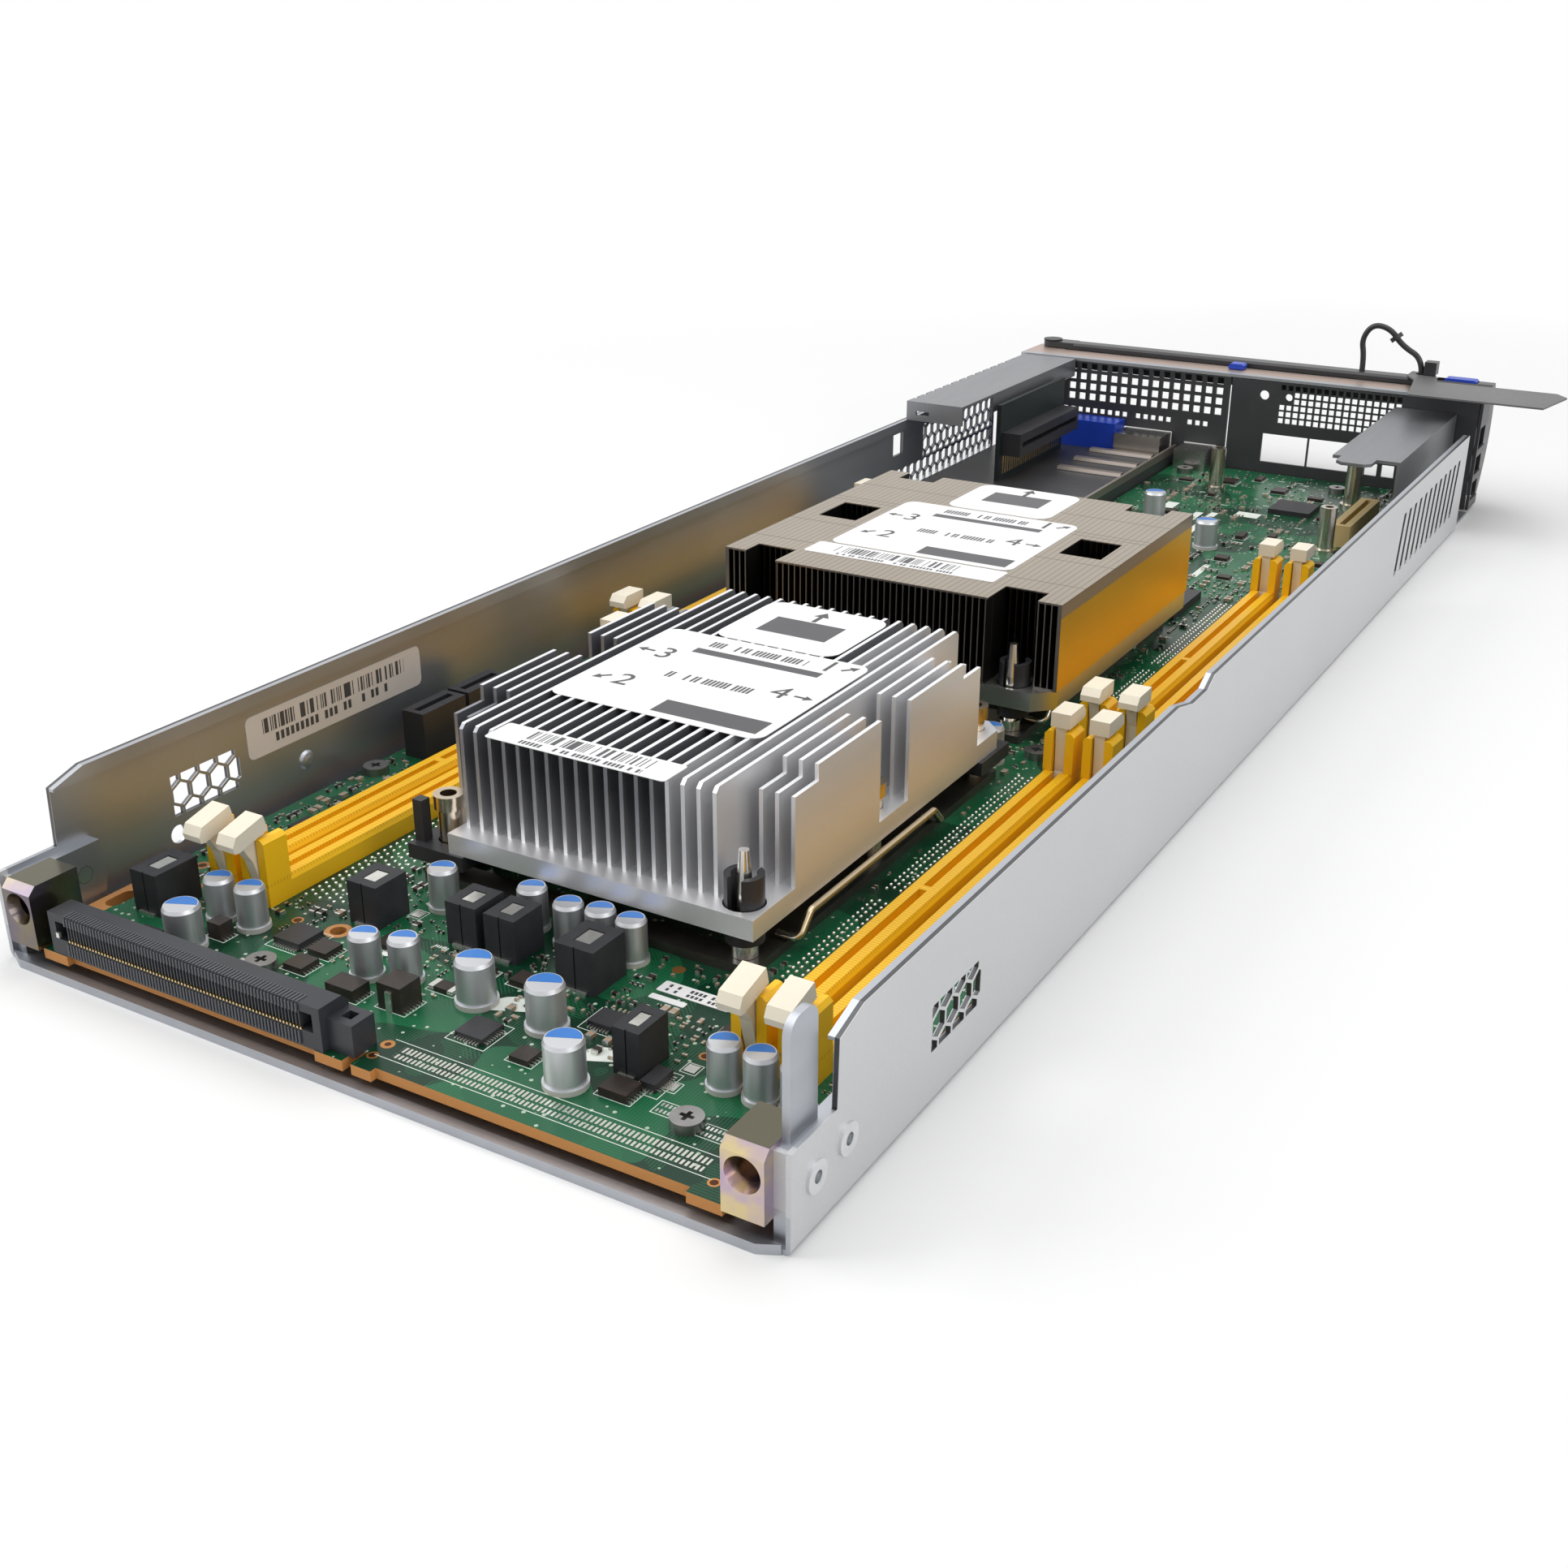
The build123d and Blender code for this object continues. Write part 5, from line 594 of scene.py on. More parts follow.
PACKAGE_TRIES = 420
PAD_TRIES = 1500
PRINT_TRIES = 1400
for _ in range(PACKAGE_TRIES):
    wide, long = spread.choice([2.4, 3.0, 4.0, 5.0]), spread.choice([3.0, 4.0, 5.0, 6.0])
    at_x = spread.uniform(-82.0, 80.0)
    at_y = 3.0 + 459.0 * spread.uniform() ** 1.8
    box = area(at_x, at_y, wide, long, 1.0, 0.6)
    if is_free(*box):
        package(at_x, at_y, wide, long, spread.uniform(0.8, 1.3))
        mark(*box, 0)
for count, span_x, span_y in ZONES:
    for _ in range(count):
        long, wide, tall = PART_KINDS[spread.integers(len(PART_KINDS))]
        across = spread.uniform() < 0.5
        run = int(spread.choice([1, 2, 3, 4, 6]))
        start_x, start_y = spread.uniform(*span_x), spread.uniform(*span_y)
        dark = spread.uniform() < 0.55
        for step in range(run):
            at_x = start_x + (0 if across else step * (wide + 0.6))
            at_y = start_y + (step * (wide + 0.6) if across else 0)
            size = (long, wide) if across else (wide, long)
            box = area(at_x, at_y, *size, 0.2, 0.2)
            if not is_free(*box):
                continue
            mark(*box, 0)
            end = long * 0.22
            top = board_top + tall
            x0, x1, y0, y1 = area(at_x, at_y, *size)
            if across:
                middle = (x0 + end, x1 - end, y0, y1)
                tips = [(x0, x0 + end, y0, y1), (x1 - end, x1, y0, y1)]
            else:
                middle = (x0, x1, y0 + end, y1 - end)
                tips = [(x0, x1, y0, y0 + end), (x0, x1, y1 - end, y1)]
            (resistors if dark else ceramics).append((*middle, board_top, top))
            part_ends.extend((*tip, board_top, top + 0.02) for tip in tips)
for _ in range(PAD_TRIES):
    wide, long = spread.choice([0.5, 0.7, 1.0]), spread.choice([0.6, 0.9, 1.4])
    at_x = spread.uniform(-82.0, 80.0)
    at_y = 3.0 + 455.0 * spread.uniform() ** 1.6
    if is_free(at_x, at_x + wide, at_y, at_y + long):
        bare_pads.append((at_x, at_x + wide, at_y, at_y + long, board_top, board_top + 0.05))
        mark(at_x, at_x + wide, at_y, at_y + long, 0)
for _ in range(PRINT_TRIES):
    wide = spread.choice([1.1, 1.7, 2.2, 3.3])
    at_x = spread.uniform(-82.0, 78.0)
    at_y = 3.0 + 455.0 * spread.uniform() ** 1.5
    if is_free(at_x, at_x + wide, at_y, at_y + 1.0):
        mark(at_x, at_x + wide, at_y, at_y + 0.8, 0)
        for sign_x in at_x + np.arange(0.0, wide, 0.55):
            print_lines.append((sign_x, sign_x + 0.32, at_y, at_y + 0.8, board_top, board_top + SILK_LIFT))
RESISTOR_BLACK = rgb(0.016, 0.016, 0.018)
RESISTOR_BROWN = rgb(0.05, 0.035, 0.025)
CERAMIC_TAN = rgb(0.30, 0.20, 0.12)
CERAMIC_PALE = rgb(0.44, 0.34, 0.24)
PRINT_WHITE = rgb(0.80, 0.82, 0.78)
PRINT_WORN = rgb(0.62, 0.68, 0.62)
resistor_black = finish("resistor_black", RESISTOR_BLACK, RESISTOR_BROWN, 400.0, 0.35, gloss=0.25)
ceramic_tan = finish("ceramic_tan", CERAMIC_TAN, CERAMIC_PALE, 220.0, 0.45)
board_print = finish("board_print", PRINT_WHITE, PRINT_WORN, 500.0, 0.6)
bricks("chip_resistors", resistor_black, resistors)
bricks("chip_capacitors", ceramic_tan, ceramics)
bricks("chip_ends", solder, part_ends)
bricks("small_packages", resistor_black, packages)

# Chips of the board.
# The larger packages are the sled's own solids, moulded in black; their leads are strips of tinned
# copper, bent down to the mask along all four sides.
CHIP_SPOTS = [(-62.0, 10.5, 5.0, 5.0), (-36.5, 25.0, 6.5, 6.5), (14.0, 17.0, 6.0, 6.0),
              (31.0, 31.0, 5.0, 5.0), (-70.4, 62.0, 6.0, 6.0), (49.0, 20.0, 3.0, 5.5),
              (10.0, 300.0, 9.0, 9.0)]
LEAD_PITCH = 0.65
LEAD_REACH = 0.8
for at_x, at_y, wide, long in CHIP_SPOTS:
    for place in np.arange(-long / 2 + 0.5, long / 2 - 0.3, LEAD_PITCH):
        for side in (-1, 1):
            root, tip = at_x + side * wide / 2, at_x + side * (wide / 2 + LEAD_REACH)
            leads.append((min(root, tip), max(root, tip), at_y + place, at_y + place + 0.3,
                          board_top, board_top + 0.4))
    for place in np.arange(-wide / 2 + 0.5, wide / 2 - 0.3, LEAD_PITCH):
        for side in (-1, 1):
            root, tip = at_y + side * long / 2, at_y + side * (long / 2 + LEAD_REACH)
            leads.append((at_x + place, at_x + place + 0.3, min(root, tip), max(root, tip),
                          board_top, board_top + 0.4))
    outline(*area(at_x, at_y, wide, long, 1.3, 1.3))
bricks("package_leads", solder, leads)
bricks("bare_pads", solder, bare_pads)

# Printed lines.
# White ink, screened on the mask after the tracks: the outlines gathered above and two long lines along
# the edge pads. One inductor's lead drops to the board beside them.
LONG_LINES = [(3.0, 71.0, 8.0), (3.0, 71.0, 2.6)]
for x0, x1, line_y in LONG_LINES:
    print_lines.append((x0, x1, line_y, line_y + SILK_WIDTH, board_top, board_top + SILK_LIFT))
LEAD_DROP = (-4.9, -3.5, 14.2, 14.5, 5.5, 9.4)
bricks("inductor_lead", solder, [LEAD_DROP])
bricks("board_print_lines", board_print, print_lines)

# Black mouldings and the riser card.
# Sockets, carriers and chips are glass-filled plastic, moulded in black and left as they come; the card
# in the riser's corner is coloured near black.
BLACK = rgb(0.020, 0.020, 0.022)
BLACK_WORN = rgb(0.042, 0.042, 0.046)
moulded_black = finish("moulded_black", BLACK, BLACK_WORN, 120.0, 0.40, 0.08, gloss=0.25)
dress(moulded_black, "lever_pivot", "edge_sockets", "riser_slot", "near_carrier", "far_carrier", "chips")
CARD_NEAR_BLACK = rgb(0.006, 0.010, 0.010)
CARD_NEAR_BLACK_WORN = rgb(0.014, 0.020, 0.020)
dress(finish("card_black", CARD_NEAR_BLACK, CARD_NEAR_BLACK_WORN, 200.0, 0.45), "riser_card")

# Docking connector.
# A long black moulding whose slot lies along the sled's edge: a comb of ribs parts the contacts along
# both lips, and the contacts show as fine gold lines in the slot.
dock_low, dock_high = extent("docking_connector")
DOCK_BLACK = rgb(0.022, 0.023, 0.027)
DOCK_SHEEN = rgb(0.045, 0.047, 0.055)
COMB_PITCH = 0.8
COMB_RIB = 0.42
COMB_REACH = 0.3
COMB_INSET = 4.5
COMB_END = -9.6
DOCK_SLOT = (8.95, 12.45)
dress(finish("dock_plastic", DOCK_BLACK, DOCK_SHEEN, 80.0, 0.34, 0.06, gloss=0.3), "docking_connector")
rib_x = np.arange(dock_low[0] + COMB_INSET, COMB_END, COMB_PITCH)
ribs = []
pins = []
front, ceiling = dock_low[1], dock_high[2]
for x0 in rib_x:
    x1 = x0 + COMB_RIB
    ribs.append((x0, x1, front - COMB_REACH, front, ceiling - 1.9, ceiling - 0.25))
    ribs.append((x0, x1, front - COMB_REACH, front, dock_low[2] + 0.4, dock_low[2] + 3.0))
    ribs.append((x0, x1, front, front + 2.4, ceiling, ceiling + 0.12))
    ribs.append((x0, x0 + 0.2, front + 0.3, front + 3.0, *DOCK_SLOT))
    pins.append((x1, x0 + COMB_PITCH - 0.05, front - 0.02, front + 0.5,
                 DOCK_SLOT[0] - 0.2, DOCK_SLOT[0] + 0.25))
# The comb's ribs are coloured lighter than the moulding: a painted highlight.
DOCK_RIB_HIGHLIGHT = rgb(0.085, 0.088, 0.10)
DOCK_RIB_HIGHLIGHT_DARK = rgb(0.050, 0.052, 0.060)
dock_rib_highlight = finish("dock_rib_highlight", DOCK_RIB_HIGHLIGHT, DOCK_RIB_HIGHLIGHT_DARK, 80.0, 0.36, 0.06)
bricks("dock_comb", dock_rib_highlight, ribs)
GOLD = rgb(0.78, 0.55, 0.20)
GOLD_PALE = rgb(0.85, 0.68, 0.38)
gold = finish("contact_gold", GOLD, GOLD_PALE, 300.0, 0.25, 0.04, 1.0)
bricks("dock_contacts", gold, pins)
DOCK_KEY = (-70.6, -69.8, -2.1, -1.6, 9.4, 10.4)
bricks("dock_key", solder, [DOCK_KEY])

# Chokes.
# Pressed ferrite blocks with a seam; a bright strap lies in the recess on top and its ends are leads.
CHOKES = [(-29.8, 40.0, 7.4, 8.6), (-8.1, 43.0, 7.2, 8.4), (1.2, 42.8, 7.2, 8.4), (19.8, 41.6, 8.6, 9.8),
          (43.7, 23.2, 5.4, 8.5), (-69.4, 23.0, 7.0, 10.5)]
CHOKE_TOP = extent("chokes")[1][2]
FERRITE = rgb(0.020, 0.021, 0.024)
FERRITE_WORN = rgb(0.042, 0.043, 0.047)
ferrite = finish("ferrite", FERRITE, FERRITE_WORN, 260.0, 0.50, 0.08, 0.0, 0.02, gloss=0.2)
dress(ferrite, "chokes")
STRAP_BASE = CHOKE_TOP - 0.6
straps = []
for at_x, at_y, wide, long in CHOKES:
    straps.append((*area(at_x, at_y, wide * 0.38, long * 0.45), STRAP_BASE, STRAP_BASE + 0.5))
    for side in (-1, 1):
        root, tip = at_y + side * long / 2, at_y + side * (long / 2 + 0.5)
        straps.append((at_x - wide * 0.3, at_x + wide * 0.3, min(root, tip), max(root, tip),
                       board_top, board_top + 0.5))
bricks("choke_straps", solder, straps)

# Processors in their sockets, under frames of black oxide steel.
# The frame's corner posts are bright pins with bullet noses, and a bronze load wire lies along each side.
SOCKET_PALE = rgb(0.50, 0.45, 0.35)
SOCKET_SHADE = rgb(0.42, 0.38, 0.29)
dress(finish("socket_plastic", SOCKET_PALE, SOCKET_SHADE, 90.0, 0.5), "processor_sockets")
MEZZ_TAN = rgb(0.62, 0.47, 0.22)
MEZZ_SHADE = rgb(0.50, 0.37, 0.16)
dress(finish("mezz_plastic", MEZZ_TAN, MEZZ_SHADE, 90.0, 0.5), "mezzanine_connector")
NICKEL = rgb(0.70, 0.69, 0.66)
NICKEL_DULL = rgb(0.52, 0.51, 0.48)
nickel = finish("nickel", NICKEL, NICKEL_DULL, 60.0, 0.30, 0.06, 0.95, 0.004)
dress(nickel, "processors", "far_heatsink_base")
OXIDE = rgb(0.020, 0.020, 0.020)
OXIDE_RIM = rgb(0.16, 0.15, 0.13)
PIN_BRIGHT = rgb(0.84, 0.81, 0.77)
WIRE_BRONZE = rgb(0.52, 0.42, 0.27)
FRAME_TOP = 7.6
WIRE_SIDE = 46.6
oxide = Shade("frame_oxide")
where, x, y, z = oxide.place()
patina = oxide.noise(where, 70.0, 4.0)
fine = oxide.noise(where, 900.0, 2.0)
is_pin = z > FRAME_TOP
is_wire = x > WIRE_SIDE
frame_colour = oxide.mix(is_pin, oxide.mix(patina, OXIDE, OXIDE_RIM), PIN_BRIGHT)
oxide_material = oxide.set(
    colour=oxide.mix(is_wire, frame_colour, WIRE_BRONZE),
    rough=patina * 0.1 + fine * 0.06 + 0.24 - is_pin * 0.10, metal=(is_pin | is_wire) * 0.3 + 0.7,
    normal=oxide.bump(fine, 0.008))
dress(oxide_material, "near_frame", "far_frame")
BRONZE = rgb(0.50, 0.38, 0.24)
BRONZE_PALE = rgb(0.68, 0.62, 0.52)
bronze = finish("nut_bronze", BRONZE, BRONZE_PALE, 220.0, 0.22, 0.06, 1.0)
dress(bronze, "captive_nuts")

# Near heatsink.
# Extruded aluminium with tall straight fins, cut back at the corners and left bare and bright. The fins'
# sides fall into each other's shade, painted on them as a dark grey that deepens towards the top.
FIN_BRIGHT = rgb(0.86, 0.86, 0.87)
FIN_DULL = rgb(0.70, 0.70, 0.72)
FIN_GAP_SHADE = rgb(0.17, 0.175, 0.20)
FIN_STEPS = 24.0
CHANNEL_LOW = 18.4
SHADE_LOW = 14.0
SHADE_RISE = 20.0
extruded = Shade("extruded")
where, x, y, z = extruded.place()
sheen = extruded.noise(where, 60.0, 4.0, (1.0, 0.05, 0.6))
draw = extruded.noise(where, 1500.0, 2.0, (0.02, 0.02, 1.0))
fin_lines = extruded.noise(where, 900.0, 2.0, (1.0, 0.02, 1.0))
sink_low, sink_high = extent("near_heatsink")
between = (x < FIN_STEPS) * (y > sink_low[1] + 0.1) * (z < sink_high[2] - 0.1) * (z > CHANNEL_LOW)
# Painted shade on the fins' sides between them, deepening towards the top.
fin_gap_shade = between * extruded.clamp((z - SHADE_LOW) * (1 / SHADE_RISE))
extruded_material = extruded.set(
    colour=extruded.mix(fin_gap_shade * 0.85, extruded.mix(sheen, FIN_BRIGHT, FIN_DULL), FIN_GAP_SHADE),
    rough=sheen * 0.10 + fin_lines * 0.08 + 0.36, metal=0.82, normal=extruded.bump(draw + fin_lines, 0.012))
dress(extruded_material, "near_heatsink")

# Far heatsink.
# Thin fins folded over and stacked into one flat top, nickel plated to a warm grey; the fold lines run
# along the sled and seams cross them. The open fin ends are painted dark as shade, each fin's front edge
# carries a thin painted highlight, and the right side's lower part is a painted reflection of the yellow
# memory sockets, in gold.
FOLD_BROWN = rgb(0.31, 0.26, 0.20)
FOLD_PALE = rgb(0.42, 0.365, 0.295)
FOLD_LINE = rgb(0.12, 0.095, 0.065)
FOLD_END_SHADE = rgb(0.035, 0.030, 0.028)
FOLD_GOLD_REFLECTION = rgb(0.82, 0.53, 0.05)
FOLD_EDGE_HIGHLIGHT = rgb(0.22, 0.20, 0.185)
FOLD_FRONTS = (183.2, 187.0)
FOLD_PITCH = 1.671
FOLD_SEAMS = (201.0, 219.5, 242.5, 245.0, 260.0)
SEAM_HALF = 0.22
FRONT_HALF = 0.08
fold_low, fold_high = extent("far_heatsink_fins")
folded = Shade("folded_fins")
where, x, y, z = folded.place()
tone = folded.noise(where, 60.0, 4.0, (1.0, 0.2, 1.0))
grain = folded.noise(where, 900.0, 2.0, (1.0, 0.1, 1.0))
on_top = z > fold_high[2] - 0.25
fold_line = ((x - fold_low[0]) % FOLD_PITCH) < 0.36
seam = folded.any_of([abs(y - seam_y) < SEAM_HALF for seam_y in FOLD_SEAMS])
right_side = (x > fold_high[0] - 0.05) * (1 - on_top)
top_colour = folded.mix(fold_line * 0.45 | seam * 0.8, folded.mix(tone, FOLD_BROWN, FOLD_PALE), FOLD_LINE)
# Each fin's front edge carries a thin painted highlight; the other side faces, the open fin ends, are painted
# dark as shade.
front_edge_highlight = folded.any_of([abs(y - front_y) < FRONT_HALF for front_y in FOLD_FRONTS])
# The lower part of the right side is a painted gold reflection of the yellow memory sockets.
gold_reflection_part = right_side * (z < fold_high[2] - 3.5)
side_colour = folded.mix(right_side, folded.mix(front_edge_highlight, FOLD_END_SHADE, FOLD_EDGE_HIGHLIGHT), FOLD_PALE)
side_colour = folded.mix(gold_reflection_part, side_colour, FOLD_GOLD_REFLECTION)
folded_material = folded.set(
    colour=folded.mix(on_top, side_colour, top_colour), rough=tone * 0.1 + grain * 0.08 + 0.24,
    metal=0.85, normal=folded.bump((1 - (fold_line | seam)) + grain * 0.2, 0.05))
dress(folded_material, "far_heatsink_fins")


# Labels.
# White film with generic print: plain bars in place of words, a bar strip, plain numerals and arrows
# that give the order in which the four screws are turned.
LABEL_THICK = 0.12
PRINT_THICK = 0.03


def label(name, low_x, high_x, low_y, high_y, level, radius, material, upright=False):
    """A plate with rounded corners: four quarter circles joined by straight sides."""
    quarter = np.linspace(0, math.pi / 2, 6)
    centres = [(high_x - radius, high_y - radius, 0.0), (low_x + radius, high_y - radius, math.pi / 2),
               (low_x + radius, low_y + radius, math.pi), (high_x - radius, low_y + radius, 1.5 * math.pi)]
    rim = np.concatenate([
        np.stack([mid_x + radius * np.cos(quarter + turn), mid_y + radius * np.sin(quarter + turn)], axis=-1)
        for mid_x, mid_y, turn in centres])
    plate(name, material, rim, level, LABEL_THICK, upright)


FILM_WHITE = rgb(0.82, 0.82, 0.82)
FILM_SHADE = rgb(0.76, 0.76, 0.77)
INK = rgb(0.05, 0.05, 0.055)
INK_WORN = grey(0.08)
WORD_PITCH = 0.9
STRIP_PITCH = 0.28


def printed(name, solids=(), words=(), strips=()):
    """White film: solid patches of ink, rows of word-like dashes, and strips of upright bars, all along X."""
    shade = Shade(name)
    where, x, y, z = shade.place()
    inked = [shade.inside(x, y, patch) for patch in solids]
    for patch in words:
        dashes = (shade.steps(x, WORD_PITCH) > 0.22) * ((x % WORD_PITCH) < 0.62)
        inked.append(shade.inside(x, y, patch) * dashes)
    inked += [shade.inside(x, y, patch) * (shade.steps(x, STRIP_PITCH) > 0.5) for patch in strips]
    cloth = shade.noise(where, 120.0, 3.0)
    film = shade.mix(cloth, FILM_WHITE, FILM_SHADE)
    return shade.set(colour=shade.mix(shade.any_of(inked), film, INK), rough=cloth * 0.08 + 0.36,
                     normal=shade.bump(shade.noise(where, 1600.0, 2.0), 0.004))


near_top = extent("near_heatsink")[1][2]
far_top = fold_high[2]
SINK_LABELS = [("near", 5.4, 105.2, near_top), ("far", 2.0, 227.0, far_top)]
ORDER_BARS = [(-13.0, 18.0, 11.8, 14.6), (-1.5, 23.0, -20.5, -14.0)]
ORDER_WORDS = [(-12.0, 12.0, 16.4, 19.6), (-10.0, 11.5, -3.4, -0.2)]
for end, mid_x, mid_y, top in SINK_LABELS:
    middle = np.array((mid_x, mid_x, mid_y, mid_y))
    film = printed(f"{end}_order_print", solids=[middle + patch for patch in ORDER_BARS],
                   words=[middle + patch for patch in ORDER_WORDS])
    label(f"{end}_order_label", mid_x - 25.2, mid_x + 25.2, mid_y - 22.8, mid_y + 22.8, top, 3.0, film)
near_strip = printed("near_strip_print", words=[(-8.0, 20.0, 58.2, 59.7)],
                     strips=[(-8.0, 20.0, 60.6, 64.6)])
label("near_strip_label", -15.5, 26.0, 57.4, 65.5, near_top, 0.8, near_strip)
near_plate = printed("near_plate_print", solids=[(-3.5, 14.0, 136.5, 146.5)])
label("near_plate_label", -10.0, 20.5, 128.6, 156.0, near_top, 4.0, near_plate)
far_strip = printed("far_strip_print", words=[(-18.0, 16.0, 195.1, 196.4)],
                    strips=[(-18.0, 16.0, 197.2, 202.0)])
label("far_strip_label", -25.0, 27.5, 194.3, 203.4, far_top, 0.8, far_strip)
far_plate = printed("far_plate_print", solids=[(-6.5, 10.5, 260.0, 270.0)])
label("far_plate_label", -13.0, 17.0, 250.6, 277.0, far_top, 4.0, far_plate)
board_label = printed("board_label_print", words=[(33.0, 45.5, 46.6, 47.6), (33.0, 45.5, 45.2, 46.1)])
label("board_label", 31.8, 47.2, 44.6, 48.3, board_top, 0.4, board_label)
label("board_label_small", 32.0, 39.6, 41.8, 43.4, board_top, 0.3, board_label)


print_ink = finish("print_ink", INK, INK_WORN, 200.0, 0.5)
FIGURE_SIZE = 8.5
ARROW_SIZE = 2.1
FLOW_ARROW_SIZE = 3.4
FIGURE_LIFT = 0.03
ARROW_SHAPE = np.array([(-1.0, -0.16), (0.1, -0.16), (0.1, -0.55), (1.0, 0.0), (0.1, 0.55), (0.1, 0.16),
                        (-1.0, 0.16)])


def figure(name, text, at_x, at_y, level):
    """A flat printed figure: a font outline filled and laid on a label."""
    body = bpy.data.curves.new(name, "FONT")
    body.body = text
    body.size = FIGURE_SIZE * MM
    body.align_x = "CENTER"
    body.align_y = "CENTER"
    letter = bpy.data.objects.new(name, body)
    bpy.context.scene.collection.objects.link(letter)
    flat = bpy.data.meshes.new_from_object(letter.evaluated_get(bpy.context.evaluated_depsgraph_get()))
    bpy.data.objects.remove(letter)
    places = np.empty(len(flat.vertices) * 3)
    flat.vertices.foreach_get("co", places)
    flat.vertices.foreach_set("co", (places.reshape(-1, 3) + sled((at_x, at_y, level))[0]).ravel())
    flat.materials.clear()
    flat.update()
    show(name, flat, print_ink)


def arrow(name, at_x, at_y, level, size, turn):
    """A flat arrow: seven points, turned in the plane and lifted into a thin plate."""
    cosine, sine = math.cos(turn), math.sin(turn)
    rim = ARROW_SHAPE @ np.array([(cosine, sine), (-sine, cosine)]) * size + (at_x, at_y)
    plate(name, print_ink, rim, level, PRINT_THICK)


ORDER = [("3", -17.0, 8.0, -22.0, 8.2, math.pi), ("1", 17.2, 18.6, 21.8, 19.4, 0.8),
         ("2", -15.5, -9.5, -20.8, -9.8, math.pi + 0.7), ("4", 16.0, 0.5, 21.5, 0.4, 0.0)]
for end, mid_x, mid_y, top in SINK_LABELS:
    ink_level = top + LABEL_THICK + FIGURE_LIFT
    for digit, shift_x, shift_y, arrow_x, arrow_y, turn in ORDER:
        figure(f"{end}_figure_{digit}", digit, mid_x + shift_x, mid_y + shift_y, ink_level)
        arrow(f"{end}_arrow_{digit}", mid_x + arrow_x, mid_y + arrow_y, ink_level - 0.01, ARROW_SIZE, turn)
for end, at_x, at_y, top in (("near", 5.2, 150.4, near_top), ("far", 2.0, 273.2, far_top)):
    arrow(f"{end}_flow_arrow", at_x, at_y, top + LABEL_THICK, FLOW_ARROW_SIZE, math.pi / 2)

# Label and dimple on the left wall.
# A long strip of film, yellowed a little, stuck on the wall's inside and printed with a row of bars and
# a line of signs; beside it a shallow round boss is pressed in the sheet.
WALL_FACE = -86.25
WALL_WHITE = rgb(0.66, 0.60, 0.55)
WALL_SHADE = rgb(0.60, 0.55, 0.50)
WALL_BARS = (67.0, 112.0, 22.2, 25.6)
WALL_SIGNS = (70.0, 107.0, 19.4, 21.4)
wall_film = Shade("wall_film")
where, x, y, z = wall_film.place()
bars = wall_film.inside(y, z, WALL_BARS) * (wall_film.steps(y, 0.3) > 0.5)
signs = wall_film.inside(y, z, WALL_SIGNS) * (wall_film.steps(y, 1.5) > 0.15) * ((y % 1.5) < 0.95)
film_tone = wall_film.noise(where, 100.0, 3.0)
wall_colour = wall_film.mix(film_tone, WALL_WHITE, WALL_SHADE)
wall_material = wall_film.set(
    colour=wall_film.mix(bars | signs, wall_colour, INK), rough=film_tone * 0.1 + 0.35)
label("wall_label", 62.3, 117.7, 17.4, 27.2, WALL_FACE, 1.6, wall_material, upright=True)
DIMPLE = (78.6, 11.9)
domes("wall_dimple", zinc_material, [DIMPLE], 2.3, 1.0, WALL_FACE, 24, upright=True)

# Memory sockets and latches.
# Yellow glass-filled mouldings with fine ticks beside every contact, and ivory latches at both ends; the
# gold contacts down in the slot get no finish of their own.
SOCKET_YELLOW = rgb(0.96, 0.56, 0.006)
SOCKET_AMBER = rgb(0.92, 0.48, 0.005)
SOCKET_TICK = rgb(0.55, 0.22, 0.004)
TICK_PITCH = 0.85
TICK_SHARE = 0.38
BANK_TOP = 10.4
yellow = Shade("socket_yellow")
where, x, y, z = yellow.place()
drift = yellow.noise(where, 60.0, 3.0)
fine = yellow.noise(where, 1200.0, 2.0)
tick = ((y % TICK_PITCH) < TICK_PITCH * TICK_SHARE) * (z > BANK_TOP - 0.6) * (z < BANK_TOP + 0.1)
# The mouldings are coloured a darker amber towards the board.
low_part = (1 - (z - 6.0) * (1 / 4.0)) | 0.0
bank_colour = yellow.mix(drift * 0.4 + low_part * 0.4, SOCKET_YELLOW, SOCKET_AMBER)
yellow_material = yellow.set(
    colour=yellow.mix(tick * 0.45, bank_colour, SOCKET_TICK),
    rough=drift * 0.08 + fine * 0.08 + 0.34, normal=yellow.bump(fine * 0.3 - tick, 0.02))
dress(yellow_material, "memory_bank_a", "memory_bank_b", "memory_bank_c", "memory_bank_d")
IVORY = rgb(0.84, 0.78, 0.64)
IVORY_SHADE = rgb(0.76, 0.69, 0.55)
ivory = finish("latch_ivory", IVORY, IVORY_SHADE, 160.0, 0.40)
dress(ivory, *[name for name in nodes if name.startswith("latch_")])

# Cans.
# Polymer capacitors in bright aluminium cans on a pale foot, each with a printed blue half-moon on top
# that marks its negative side.
CAN = rgb(0.60, 0.61, 0.63)
CAN_SHADE = rgb(0.54, 0.55, 0.57)
CAN_FOOT = rgb(0.60, 0.58, 0.54)
CAN_BLUE = rgb(0.05, 0.22, 0.62)
CAN_BLUE_DEEP = rgb(0.03, 0.15, 0.48)
can = Shade("can_aluminium")
where, x, y, z = can.place()
drift = can.noise(where, 140.0, 3.0)
fine = can.noise(where, 1600.0, 2.0, (1.0, 1.0, 0.1))
foot = z < board_top + 1.0
can_material = can.set(colour=can.mix(foot, can.mix(drift, CAN, CAN_SHADE), CAN_FOOT), metal=0.9 - foot * 0.7,
                       rough=drift * 0.04 + fine * 0.05 + 0.40 + foot * 0.1, normal=can.bump(fine, 0.006))
